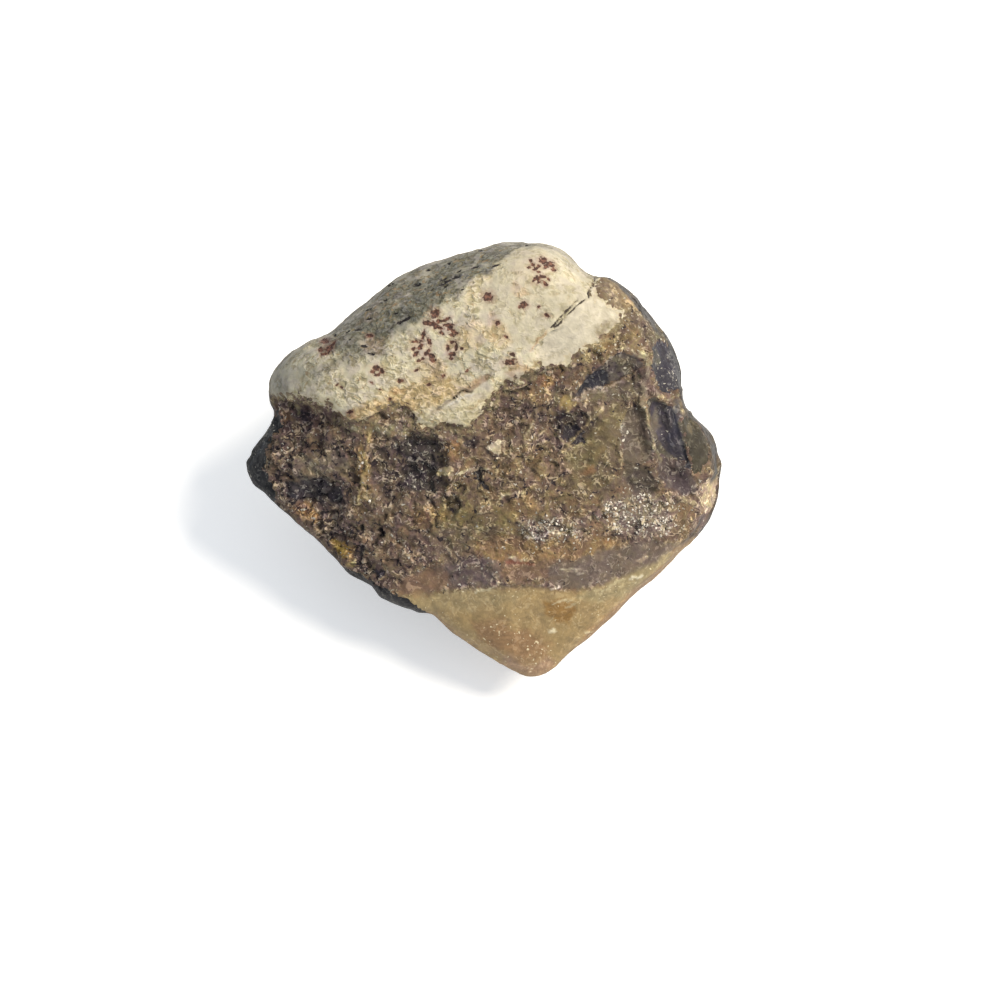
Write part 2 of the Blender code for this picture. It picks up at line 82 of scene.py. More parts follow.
# Zones of the surface: the colour, its strength, the width of its border, the finish, the depth it is
# cut to, and its outline. The finish is how smooth it is and how thick its light specks and dark pits
# are, each from 0 to 1. A border of 0 is crisp, and one of -1 is crisp and runs on round the stone's edge.
ZONES = (
    # grey slope behind the brow, darkened with painted shade
    ("#5b5a50", 0.95, 1.2, (0.1, 0.45, 0.4), 0, ((-24.1, 16.1), (-23.7, 19.3), (-19.9, 23.8), (-14.7, 28.3),
        (-8.7, 32.1), (-1.9, 34.6), (5.5, 35.9), (10.9, 34.9), (10.9, 33.4), (9.3, 32.4), (5.5, 30.9),
        (2.5, 29.1), (0.3, 26.8), (-1.9, 25.3), (-6.5, 21.9), (-10.9, 19.6), (-13.7, 17.6), (-15.8, 16.1),
        (-19.9, 15.1), (-22.2, 15.4))),
    # left end of the nose, darkened with painted shade
    ("#5a5a52", 0.88, 2.2, (0.5, 0.1, 0.15), 0, ((-34.2, 9.6), (-33.8, 15.1), (-31.0, 17.6), (-27.4, 18.4),
        (-26.6, 16.3), (-28.3, 14.5), (-29.2, 11.1), (-29.7, 8.5), (-31.6, 7.0), (-33.8, 8.2))),
    # shade along the nose
    ("#615e53", 0.7, 1.5, (0.2, 0.2, 0.4), 0, ((-27.4, 12.6), (-22.9, 14.5), (-18.4, 16.1), (-13.7, 17.2),
        (-14.7, 15.4), (-19.9, 13.7), (-24.4, 12.2))),
    # fresh chip
    ("#bab198", 0.95, 0, (1, 0, 0), 0.25, ((16.6, 26.7), (15.6, 24.0), (13.7, 22.2), (11.8, 20.1),
        (10.5, 18.8), (8.5, 16.8), (7.6, 16.1), (8.7, 13.2), (10.3, 13.8), (12.3, 13.9), (14.2, 16.1),
        (16.1, 16.9), (18.1, 18.4), (19.5, 19.6), (20.7, 21.1), (19.6, 22.6), (18.1, 23.1), (17.2, 24.4))),
    # worn stone right of the crack
    ("#6e614e", 0.9, 0.8, (0.6, 0.2, 0.2), 0, ((16.8, 28.3), (19.3, 27.8), (22.1, 25.9), (22.9, 23.8),
        (21.1, 22.9), (19.3, 22.9), (18.1, 23.2), (17.2, 24.6), (16.9, 26.2))),
    # smooth chalk by the crack
    ("#a0977c", 0.7, 2.2, (0.9, 0.12, 0.1), 0, ((-0.8, 23.1), (2.2, 29.5), (9.3, 32.9), (14.8, 30.1),
        (16.6, 27.4), (15.4, 23.8), (11.5, 20.6), (7.0, 16.1), (3.3, 16.1), (0.8, 19.1))),
    # pale layer under the ledge
    ("#c6bb99", 0.8, 0.9, (0.5, 0.2, 0.2), 0.25, ((-6.8, 7.0), (-3.1, 8.8), (-0.4, 10.2), (2.5, 10.7),
        (4.6, 9.4), (2.9, 6.8), (-0.4, 5.0), (-4.2, 4.3), (-6.5, 5.2))),
    # ochre hem of the rind
    ("#b2966a", 0.6, 2, (0, 0.8, 0.4), 0, ((-19.6, 7.0), (-14.7, 9.4), (-11.7, 11.2), (-6.5, 12.2),
        (-3.1, 11.8), (-1.9, 10.9), (-4.2, 9.2), (-6.5, 7.8), (-9.4, 7.0), (-13.2, 6.5), (-16.9, 5.8),
        (-19.6, 5.8))),
    # shade under the nose
    ("#604f47", 0.7, 1.4, (0.05, 0.3, 0.7), 0.5, ((-32.2, 8.4), (-29.7, 8.2), (-26.2, 8.2), (-24.1, 7.3),
        (-21.4, 5.8), (-22.3, 4.0), (-25.6, 3.4), (-28.9, 3.8), (-31.2, 5.2))),
    # brown patch under the nose
    ("#6f5544", 0.6, 1.2, (0.1, 0.3, 0.5), 0, ((-30.8, 7.6), (-28.9, 7.0), (-29.5, 5.2), (-30.8, 5.2))),
    # purple patch under the nose: painted shade under its overhang
    ("#3d2f37", 0.8, 0.8, (0.1, 0.2, 0.8), 0, ((-28.8, 8.2), (-27.4, 8.5), (-25.6, 7.6), (-25.3, 6.1),
        (-26.8, 5.2), (-28.3, 5.8))),
    # left of the face
    ("#5a4e46", 0.75, 3, (0, 0.35, 0.95), 0, ((-31.0, 4.3), (-27.4, 3.4), (-21.4, 4.3), (-18.1, 2.9),
        (-17.8, -1.6), (-19.6, -6.1), (-18.4, -10.7), (-16.6, -15.1), (-15.4, -18.1), (-19.2, -16.6),
        (-23.7, -12.2), (-27.4, -8.4), (-30.4, -5.4), (-32.2, -2.9), (-32.2, 1.3))),
    # smooth facet at the left
    ("#6a6051", 0.7, 1.5, (0.55, 0.2, 0.3), 0, ((-28.6, -0.4), (-24.4, 1.1), (-19.6, 0.6), (-19.1, -1.6),
        (-22.9, -2.9), (-27.4, -3.8))),
    # dark belt at the left
    ("#33323a", 0.85, 1.2, (0.2, 0.3, 0.8), 0.5, ((-29.8, -3.4), (-27.4, -3.1), (-23.7, -2.9),
        (-20.7, -4.0), (-20.8, -6.5), (-24.1, -6.1), (-27.4, -6.1), (-29.5, -5.8))),
    # hollow, with painted shade in it
    ("#37353a", 0.8, 2.2, (0, 0.45, 0.75), 0.8, ((-12.8, 1.8), (-11.2, 3.4), (-8.8, 3.8), (-7.0, 2.9),
        (-5.5, 1.1), (-6.0, -1.6), (-5.4, -3.8), (-7.0, -5.2), (-9.8, -5.5), (-11.8, -4.6), (-12.8, -2.5),
        (-12.0, -0.4))),
    # dark skirt of the hollow
    ("#4e4541", 0.6, 1.5, (0, 0.4, 0.8), 0.3, ((-16.1, 2.1), (-12.2, 3.1), (-11.8, -3.1), (-12.8, -6.1),
        (-15.4, -6.1), (-16.6, -1.6))),
    # crescent wall: the scar's wall darkened with painted shade
    ("#4a4442", 0.92, 0, (0.35, 0.15, 0.3), 0.4, ((13.3, 8.5), (13.9, 9.8), (15.0, 11.5), (16.3, 12.8),
        (18.1, 14.2), (19.3, 15.3), (20.7, 15.8), (22.3, 15.1), (24.1, 14.1), (22.6, 13.0), (20.8, 12.2),
        (18.4, 10.9), (16.3, 10.0), (14.5, 9.3))),
    # crescent floor
    ("#564f42", 0.8, 0.8, (0.3, 0.3, 0.3), 0.1, ((15.8, 9.4), (18.4, 10.8), (21.3, 11.7), (23.6, 13.3),
        (23.2, 9.4), (20.8, 8.5), (18.4, 8.5), (16.3, 8.2))),
    # above the crescent
    ("#665941", 0.7, 1, (0.1, 0.5, 0.5), 0, ((17.6, 17.1), (19.9, 18.6), (22.1, 20.8), (23.8, 19.3),
        (24.8, 16.3), (24.1, 14.2), (20.8, 15.8), (18.1, 14.8), (15.4, 12.8), (14.5, 13.9))),
    # shoulder
    ("#605746", 0.75, 1.5, (0.3, 0.45, 0.4), 0, ((20.8, 22.6), (23.6, 24.1), (25.8, 21.1), (27.1, 18.4),
        (25.1, 16.3), (23.6, 17.8), (22.1, 20.6))),
    # slate rim at the right
    ("#181719", 0.88, 0, (0.8, 0.1, 0), 0, ((23.6, 23.8), (25.3, 23.8), (27.8, 20.8), (29.8, 17.1),
        (30.1, 13.9), (28.6, 16.9), (26.8, 19.3), (25.6, 21.4))),
    # facet b
    ("#2d2c35", 0.92, 0, (0.5, 0.42, 0.05), 0.2, ((25.2, 16.3), (25.9, 17.6), (27.1, 17.6), (28.6, 16.6),
        (29.7, 14.5), (30.3, 11.8), (29.5, 10.7), (27.8, 10.0), (26.2, 10.3), (25.3, 12.8))),
    # pale side of facet b
    ("#55503f", 0.8, 0.8, (0.4, 0.45, 0.1), 0, ((25.3, 19.9), (27.1, 20.2), (28.6, 18.4), (29.5, 16.3),
        (28.3, 16.8), (26.6, 17.7), (25.3, 17.2))),
    # trough
    ("#4f4a42", 0.92, 0, (0.4, 0.3, 0.1), 0.25, ((24.3, 8.5), (25.3, 8.8), (26.8, 8.2), (28.3, 7.9),
        (29.8, 4.6), (30.4, -0.4), (28.3, 0.1), (25.8, 1.3), (24.8, 3.8))),
    # slate in the trough
    ("#3f3b42", 0.95, 0, (0.65, 0.25, 0.05), 0, ((25.1, 8.5), (26.6, 8.1), (27.8, 7.9), (28.6, 6.5),
        (29.4, 4.0), (30.0, 1.3), (30.6, -0.6), (28.9, -0.1), (27.1, 1.1), (26.1, 2.9), (25.2, 5.2),
        (24.8, 7.3))),
    # deep side of the trough: painted shade on its far wall
    ("#24232c", 0.95, 0, (0.8, 0.1, 0), 0.25, ((27.4, 7.6), (28.3, 7.0), (28.9, 5.2), (29.5, 3.1),
        (30.3, 0.4), (30.9, -1.3), (30.3, -1.3), (29.4, 1.1), (28.5, 3.8), (27.8, 5.8))),
    # foot of the trough
    ("#4b4243", 0.9, 0.8, (0.55, 0.25, 0.1), 0.1, ((25.3, 1.1), (27.8, 0.3), (30.8, -0.6), (32.1, -5.5),
        (30.1, -5.2), (27.8, -4.0), (25.8, -2.2))),
    # olive facet
    ("#2f2a1d", 0.95, 0, (0.9, 0.05, 0), 0.1, ((29.5, 6.5), (31.3, 5.8), (32.9, 3.8), (33.8, 0.1),
        (32.5, -1.6), (31.3, -2.2), (30.4, 1.1), (29.7, 3.8))),
    # edge right of the trough
    ("#5b5342", 0.75, 0.5, (0.6, 0.2, 0), 0, ((27.8, 8.5), (30.1, 9.2), (31.9, 7.0), (31.3, 5.8),
        (29.5, 6.5), (28.6, 6.8))),
    # rim right of the olive facet
    ("#4a4234", 0.8, 0.6, (0.4, 0.3, 0.2), 0, ((31.3, 8.2), (34.4, 5.8), (36.1, 0.6), (35.9, -2.9),
        (34.4, -3.1), (33.8, 0.1), (32.9, 3.8), (31.6, 6.1))),
    # pale rim chip
    ("#9c8e76", 0.9, 0, (0.3, 0.4, 0.1), 0.2, ((33.1, -3.4), (34.9, -2.2), (36.1, -3.1), (35.9, -7.6),
        (33.4, -8.2), (32.2, -6.5))),
    # dark rim chip
    ("#5a4a45", 0.85, 0.6, (0.7, 0.1, 0), 0, ((31.6, -8.5), (33.4, -7.9), (34.4, -9.2), (32.5, -11.2),
        (31.0, -10.7))),
    # flake
    ("#52483d", 0.85, 0, (0.75, 0.15, 0.05), 0.12, ((21.6, 7.3), (22.6, 7.8), (23.7, 7.3), (24.1, 5.1),
        (24.8, 2.4), (25.2, 0.3), (24.1, -0.4), (22.6, -1.3), (21.1, -1.6), (20.7, 0.6), (20.6, 3.6),
        (20.8, 5.8))),
    # dark end of the crescent: painted shade deep in the scar
    ("#2a2a33", 0.9, 0, (0.6, 0.12, 0.2), 0.3, ((13.9, 9.8), (15.0, 11.5), (16.3, 12.6), (17.8, 13.0),
        (18.8, 12.3), (18.3, 11.1), (16.6, 10.3), (15.1, 9.6))),
    # dark oval
    ("#2b262c", 0.9, 0, (0.45, 0.35, 0.2), 0.25, ((11.2, 4.0), (12.4, 4.6), (13.9, 4.5), (15.0, 3.8),
        (14.8, 2.7), (13.5, 2.1), (12.2, 2.4))),
    # pale blob
    ("#a9a088", 0.9, 0, (0.55, 0.2, 0.1), -0.15, ((0.8, 1.9), (1.5, 2.5), (2.4, 2.5), (3.0, 1.8),
        (2.9, 0.8), (2.1, 0.3), (1.2, 0.8))),
    # small pale blob
    ("#a39475", 0.9, 0, (0.5, 0.4, 0.1), -0.12, ((-7.2, -2.1), (-6.0, -1.2), (-4.6, -1.1), (-4.2, -1.6),
        (-5.0, -2.2), (-6.3, -2.5))),
    # pit
    ("#191518", 0.9, 0, (0.4, 0, 0), 0.5, ((-1.1, -1.8), (-0.3, -1.1), (0.0, -1.6), (-0.4, -2.5),
        (-0.8, -3.1), (-1.2, -2.9))),
    # pit
    ("#1d181c", 0.9, 0, (0.4, 0, 0), 0.5, ((-0.6, -3.0), (0.1, -3.1), (0.8, -4.0), (1.1, -5.0),
        (0.1, -4.5))),
    # smooth brown
    ("#7a6041", 0.8, 0.9, (0.75, 0.1, 0.05), 0, ((2.2, -7.3), (3.8, -6.5), (5.8, -5.8), (8.2, -6.5),
        (8.5, -8.2), (6.8, -9.4), (4.0, -9.4), (2.5, -8.8))),
    # dark facets under the flake
    ("#403b34", 0.8, 0.8, (0.5, 0.35, 0.2), 0.4, ((20.8, -0.4), (24.3, -0.8), (25.9, -3.1), (25.3, -5.5),
        (22.3, -5.2), (20.8, -3.1))),
    # olive band
    ("#6b5f42", 0.85, 1, (0.75, 0.15, 0.15), 0, ((11.8, 1.1), (13.7, 1.9), (15.4, 3.8), (17.2, 5.8),
        (19.1, 7.6), (20.6, 8.2), (21.3, 5.8), (20.2, 3.4), (18.4, 1.1), (16.6, -0.8), (13.7, -1.6),
        (11.8, -1.1))),
    # dark cluster
    ("#37302f", 0.8, 1.4, (0, 0.5, 0.9), 0.6, ((9.3, 6.1), (11.5, 7.0), (14.5, 6.8), (16.3, 5.8),
        (15.8, 3.8), (13.9, 2.2), (11.5, 2.9), (9.8, 4.3))),
    # middle of the face
    ("#6b5d46", 0.6, 3, (0.15, 0.35, 0.4), 0, ((-7.0, 1.3), (-0.4, 2.9), (8.5, 1.3), (11.5, -1.6),
        (17.6, -3.1), (16.1, -7.6), (8.5, -9.2), (-0.4, -8.4), (-6.5, -9.2))),
    # right of the face
    ("#574e38", 0.6, 3, (0.55, 0.25, 0.2), 0, ((16.1, 8.2), (20.8, 9.2), (20.8, -1.6), (18.1, -5.5),
        (12.4, -4.3), (13.3, 0.6))),
    # white belt at the right
    ("#726a60", 0.7, 1.6, (0.1, 0.95, 0.4), 0, ((17.6, -6.1), (21.3, -5.2), (25.8, -5.5), (28.9, -6.5),
        (30.1, -9.2), (28.3, -10.9), (23.6, -11.5), (19.1, -10.9), (16.9, -8.8))),
    # white belt in the middle
    ("#746a5c", 0.7, 1.4, (0.1, 0.95, 0.4), 0, ((5.5, -8.8), (8.5, -8.4), (12.4, -8.8), (14.8, -10.0),
        (13.0, -12.2), (8.5, -12.2), (5.2, -11.2))),
    # brown belt
    ("#7d6749", 0.85, 2, (0.35, 0.35, 0.2), 0, ((-1.9, -12.2), (2.5, -10.7), (8.5, -12.2), (14.5, -11.5),
        (19.3, -10.7), (20.2, -12.9), (17.6, -14.5), (11.5, -15.1), (5.5, -15.1), (-0.4, -15.4))),
    # olive belt
    ("#756a48", 0.6, 2, (0.4, 0.2, 0.2), 0, ((-7.9, -6.9), (-1.9, -6.1), (5.5, -8.4), (4.8, -10.7),
        (-1.9, -12.2), (-7.2, -10.7))),
    # grey belt at the left
    ("#665a55", 0.9, 1, (0.45, 0.4, 0.25), 0.15, ((-5.8, -15.1), (-1.9, -14.5), (2.5, -14.8), (3.4, -17.2),
        (-0.4, -19.1), (-5.0, -19.1), (-7.0, -17.6))),
    # red belt
    ("#6f5946", 0.85, 0.8, (0.85, 0.05, 0), 0.1, ((3.1, -14.8), (7.8, -15.1), (10.3, -15.8), (9.8, -17.6),
        (5.5, -18.1), (2.9, -17.6))),
    # grey belt at the right
    ("#64584e", 0.92, 1, (0.85, 0.12, 0.05), 0.15, ((9.8, -15.1), (14.5, -14.5), (17.6, -13.3),
        (23.6, -12.2), (27.8, -12.2), (28.9, -13.0), (26.6, -15.1), (23.6, -16.6), (19.3, -18.1),
        (14.5, -19.1), (10.3, -18.8))),
    # red patch at the wedge
    ("#735c48", 0.9, 1.2, (0.85, 0.1, 0.05), 0, ((-12.8, -17.2), (-8.7, -16.1), (-5.5, -16.6),
        (-5.2, -18.8), (-8.7, -20.6), (-12.2, -20.6))),
    # smooth grey patch
    ("#665a4a", 0.6, 1.6, (0.5, 0.2, 0.2), 0, ((-7.0, -9.9), (-4.2, -9.4), (-1.6, -11.5), (-3.4, -13.9),
        (-6.8, -13.7))),
    # right of the low belts
    ("#6b5a41", 0.6, 1.5, (0.4, 0.35, 0.2), 0, ((26.6, -6.1), (31.0, -7.3), (31.9, -10.7), (29.5, -12.9),
        (25.8, -12.2), (27.8, -9.9))),
    # slate tip: dark stone, darkened further with painted shade on its turned-away side
    ("#0e1117", 0.95, -1, (0.6, 0.25, 0.1), 0, ((-37.0, -0.9), (-34.9, 2.9), (-32.2, 6.1), (-30.8, 7.6),
        (-30.3, 5.2), (-31.0, 4.0), (-31.9, 2.9), (-32.2, 1.3), (-32.5, -0.1), (-32.7, -1.3), (-32.2, -2.2),
        (-31.6, -3.4), (-31.0, -6.1), (-33.1, -6.1), (-35.9, -3.1))),
    # under the left rim: painted shade on the underside
    ("#0f0e14", 0.9, -1, (0.8, 0.04, 0), 0, ((-21.4, -15.4), (-17.6, -17.7), (-15.4, -19.0), (-13.7, -19.8),
        (-11.5, -20.7), (-9.3, -22.3), (-8.1, -23.2), (-8.8, -27.1), (-15.4, -24.1), (-21.4, -18.9))),
    # pale top of the wedge
    ("#938360", 0.6, 1.2, (0.7, 0.35, 0), 0, ((-11.7, -20.7), (-7.9, -19.9), (-0.4, -19.3), (5.5, -19.3),
        (5.5, -21.1), (-1.9, -22.1), (-7.9, -22.9), (-10.7, -22.3))),
    # pale right of the wedge
    ("#8b7f5f", 0.8, 1.4, (0.7, 0.4, 0), 0, ((13.8, -19.9), (17.6, -18.8), (22.1, -16.9), (25.8, -15.1),
        (29.5, -12.9), (31.9, -11.8), (31.0, -14.4), (26.6, -18.1), (20.6, -20.6), (16.1, -21.4))),
    # orange hem of the wedge
    ("#947248", 0.75, 1.2, (0.7, 0.3, 0), 0, ((32.5, -12.2), (28.9, -14.5), (25.3, -17.2), (23.6, -18.9),
        (20.6, -21.8), (16.9, -24.1), (14.5, -27.1), (17.6, -27.1), (25.1, -21.1), (32.5, -15.1))),
    # brown blotch
    ("#7d5c2b", 0.8, 0.9, (0.9, 0, 0), 0, ((8.7, -21.4), (10.7, -20.8), (13.3, -21.3), (14.1, -22.8),
        (13.0, -24.4), (10.7, -24.4), (9.3, -23.1))),
    # red-brown corner
    ("#7a5d43", 0.75, 2, (0.6, 0.45, 0.15), 0, ((-1.6, -24.4), (2.5, -23.8), (7.0, -25.6), (9.8, -27.1),
        (9.8, -29.5), (5.5, -30.1), (1.8, -28.6), (-0.8, -26.6))),
    # pink tip
    ("#947662", 0.7, 1.6, (0.6, 0.5, 0.1), 0, ((3.3, -29.4), (7.0, -30.4), (10.3, -29.5), (11.5, -31.9),
        (8.5, -34.6), (3.3, -34.6), (1.8, -30.8))),
)
# Soft spots: the colour, the middle, length, width and turn, the strength, the finish and the depth
SPREADS = (
    ("#5a5548", (20.2, 13.9), 3.0, 1.5, -25, 0.75, (0.4, 0.3, 0.2), 0),
    ("#55504a", (22.1, 14.8), 2.1, 1.2, 30, 0.5, (0.4, 0.3, 0.2), 0),
    ("#6b6055", (21.8, 13.9), 3.3, 1.1, -20, 0.5, (0.2, 0.5, 0.2), 0),
    ("#5c5a50", (25.6, 15.4), 1.2, 2.4, 0, 0.6, (0.4, 0.5, 0.1), 0),
    ("#625b50", (25.1, 4.6), 1.3, 6.6, -8, 0.7, (0.5, 0.3, 0.1), 0),
    ("#2c2c38", (28.3, 5.2), 1.1, 9.0, -12, 0.7, (0.8, 0.1, 0), 0),
    ("#57504a", (26.8, 8.2), 1.8, 1.2, 0, 0.5, (0.5, 0.3, 0), 0),
    ("#3b362b", (33.1, 1.1), 0.8, 4.5, -12, 0.7, (0.8, 0.1, 0), 0),
    ("#665d47", (31.0, 4.6), 1.5, 2.1, 0, 0.5, (0.7, 0.2, 0), 0),
    ("#80623f", (-26.6, -8.1), 3.6, 2.4, -30, 0.8, (0, 0.5, 0.5), 0),
    ("#a98a6a", (-27.0, -9.0), 1.3, 1.1, 0, 0.8, (0.3, 0.5, 0.1), 0),
    ("#8a7138", (-21.0, -13.3), 3.9, 2.2, -30, 0.85, (0, 0.5, 0.4), 0),
    ("#77703c", (-19.6, -15.3), 1.8, 1.5, 0, 0.6, (0, 0.3, 0.4), 0),
    ("#2a2b38", (-15.4, -17.1), 2.7, 1.9, 0, 0.8, (0.1, 0.3, 0.8), 0.3),
    ("#26232b", (-18.0, -13.8), 1.1, 2.4, -15, 0.85, (0.2, 0, 0.6), 0.4),
    ("#1f1c1f", (-15.3, -11.1), 0.9, 1.9, 10, 0.85, (0.2, 0, 0.9), 0.5),
    ("#1f1c1f", (-17.7, -10.2), 0.8, 1.5, 10, 0.85, (0.2, 0, 0.9), 0.5),
    ("#7d6a4a", (-17.6, -1.6), 1.9, 11.1, 6, 0.75, (0.1, 0.65, 0.2), 0),
    ("#94805b", (-16.6, 4.0), 1.5, 3.3, -10, 0.5, (0.1, 0.6, 0.2), 0),
    ("#86764f", (-18.4, -7.3), 1.8, 3.0, 10, 0.5, (0.1, 0.5, 0.3), 0),
    ("#8d8a72", (-14.2, 4.2), 5.1, 1.8, 5, 0.5, (0.1, 0.7, 0.3), 0),
    ("#9a8f70", (-11.7, 3.4), 1.8, 1.5, 0, 0.6, (0.2, 0.8, 0.1), 0),
    ("#7d6242", (-4.5, 1.6), 2.1, 2.4, 30, 0.55, (0.1, 0.4, 0.4), 0),
    ("#2b2730", (-2.1, 2.9), 2.7, 1.8, 0, 0.7, (0, 0.3, 0.9), 0.5),
    ("#2d2a2c", (-4.3, -6.9), 1.8, 2.4, 0, 0.6, (0, 0.3, 0.8), 0.3),
    ("#7b7466", (20.6, 4.0), 0.9, 4.5, 8, 0.7, (0.2, 1, 0.2), 0),
    ("#7c6038", (-7.9, -8.4), 6.0, 3.6, 10, 0.4, (0.1, 0.4, 0.4), 0),
    ("#8b7c50", (12.6, 8.2), 2.2, 2.5, 0, 0.8, (0.4, 0.3, 0.1), 0),
    ("#8f6f48", (9.3, 11.4), 3.0, 2.2, 0, 0.6, (0.1, 0.5, 0.3), 0),
    ("#8f7a55", (8.5, 9.4), 3.9, 2.7, 0, 0.4, (0.1, 0.6, 0.4), 0),
    ("#5f5a4a", (10.8, 9.4), 1.8, 2.1, 0, 0.5, (0.3, 0.3, 0.3), 0),
    ("#8a8668", (23.6, 15.4), 2.1, 1.3, -10, 0.8, (0.4, 0.4, 0), 0),
    ("#7d6044", (15.8, -1.5), 2.1, 1.5, 0, 0.6, (0.2, 0.3, 0.3), 0),
    ("#8b7c60", (21.8, 23.6), 3.9, 2.1, 60, 0.5, (0.1, 0.6, 0.5), 0),
    ("#8f8a5a", (20.2, 19.3), 2.7, 1.8, 30, 0.4, (0.1, 0.5, 0.4), 0),
    ("#5c4c33", (18.1, 19.3), 4.5, 2.1, 40, 0.5, (0.1, 0.5, 0.7), 0),
    ("#83785c", (15.3, 15.4), 3.9, 1.8, 30, 0.6, (0, 0.7, 0.6), 0),
    ("#6b5738", (10.9, 12.4), 3.9, 1.5, 15, 0.5, (0, 0.6, 0.7), 0),
    ("#7a6a48", (17.6, 17.1), 4.5, 1.8, 45, 0.4, (0, 0.7, 0.6), 0),
    ("#5b463e", (18.1, -9.2), 2.4, 2.1, 0, 0.4, (0, 0.6, 0.6), 0),
    ("#2f2b2d", (10.9, -9.4), 3.3, 1.3, 0, 0.4, (0, 0.5, 0.7), 0),
    ("#b9a98a", (23.6, -14.5), 1.8, 0.8, 20, 0.5, (0.5, 0.8, 0), 0),
    ("#b5a88f", (13.0, -16.3), 3.6, 0.8, 0, 0.5, (0.3, 0.9, 0), 0),
    ("#b58f6b", (5.5, 24.6), 3.3, 1.8, 0, 0.35, (0.1, 0.7, 0.2), 0),
    ("#c0a27a", (-1.9, 17.8), 6.9, 4.5, 20, 0.4, (0, 0.7, 0.3), 0),
    ("#a98c62", (2.5, 17.8), 3.0, 4.5, 0, 0.35, (0, 0.8, 0.4), 0),
    ("#ad8f68", (-7.9, 13.0), 6.6, 3.0, 10, 0.45, (0, 0.8, 0.4), 0),
    ("#bab195", (11.5, 27.6), 7.5, 6.0, 0, 0.4, (0.5, 0.1, 0.1), 0),
    ("#c3b999", (-12.4, 13.0), 9.0, 3.3, -10, 0.45, (0.3, 0.2, 0.2), 0),
    # the next two spots darken the nose: painted shade
    ("#9f967f", (-19.9, 10.7), 10.5, 3.9, 0, 0.45, (0.3, 0.3, 0.3), 0),
    ("#8a8571", (-26.6, 13.7), 6.6, 6.0, 0, 0.55, (0.3, 0.2, 0.3), 0),
    ("#a58f80", (-8.7, 16.3), 2.7, 3.6, 0, 0.4, (0.2, 0.4, 0.2), 0),
    ("#a88f82", (-5.2, 16.1), 1.5, 2.4, 0, 0.4, (0.2, 0.4, 0.2), 0),
    ("#93806f", (-16.3, 16.9), 3.9, 2.7, 0, 0.6, (0.2, 0.2, 0.4), 0),
    ("#9e8d86", (-6.5, 20.1), 3.9, 3.0, 0, 0.25, (0.2, 0.2, 0.2), 0),
    ("#7c7168", (-16.9, 21.1), 4.5, 2.1, 40, 0.6, (0.1, 0.3, 0.6), 0),
    ("#a39a83", (-8.7, 27.4), 2.4, 1.8, 0, 0.5, (0.1, 0.5, 0.3), 0),
    ("#8f887b", (-12.4, 23.8), 3.9, 3.0, 30, 0.35, (0.1, 0.4, 0.5), 0),
    ("#625f5c", (-4.2, 26.4), 6.0, 1.3, 22, 0.45, (0.1, 0.1, 0.6), 0),
    ("#9c9383", (-16.1, 23.2), 1.8, 1.5, 0, 0.5, (0.1, 0.4, 0.2), 0),
    ("#b6a98b", (-1.2, 23.8), 2.4, 5.4, -30, 0.4, (0, 0.5, 0.5), 0),
    ("#9d8a5f", (0.6, 26.2), 1.8, 1.8, 0, 0.4, (0.1, 0.4, 0.3), 0),
    ("#7f7b5f", (9.4, 20.8), 1.3, 1.3, 0, 0.45, (0.2, 0.2, 0.2), 0),
    ("#b49a86", (1.6, 20.2), 1.8, 2.4, 0, 0.5, (0.2, 0.3, 0.2), 0),
    ("#a88c74", (7.0, 27.8), 6.0, 6.0, 0, 0.2, (0.1, 0.3, 0.2), 0),
    ("#98704e", (-19.5, 6.9), 1.8, 1.3, 0, 0.7, (0.2, 0.5, 0.3), 0),
    ("#b58a5c", (-12.4, 10.0), 2.4, 1.3, 0, 0.4, (0, 0.9, 0.3), 0),
    ("#8a6648", (-0.8, 11.5), 3.6, 1.3, 30, 0.6, (0.1, 0.6, 0.6), 0),
    ("#a07a58", (5.5, 13.0), 5.1, 1.5, 15, 0.5, (0.1, 0.7, 0.5), 0),
    ("#c8bd9b", (2.5, 11.8), 2.4, 1.8, 0, 0.5, (0.4, 0.2, 0.1), 0),
    ("#9f8a66", (-1.2, 8.1), 4.5, 1.2, 20, 0.25, (0.1, 0.7, 0.3), 0),
)
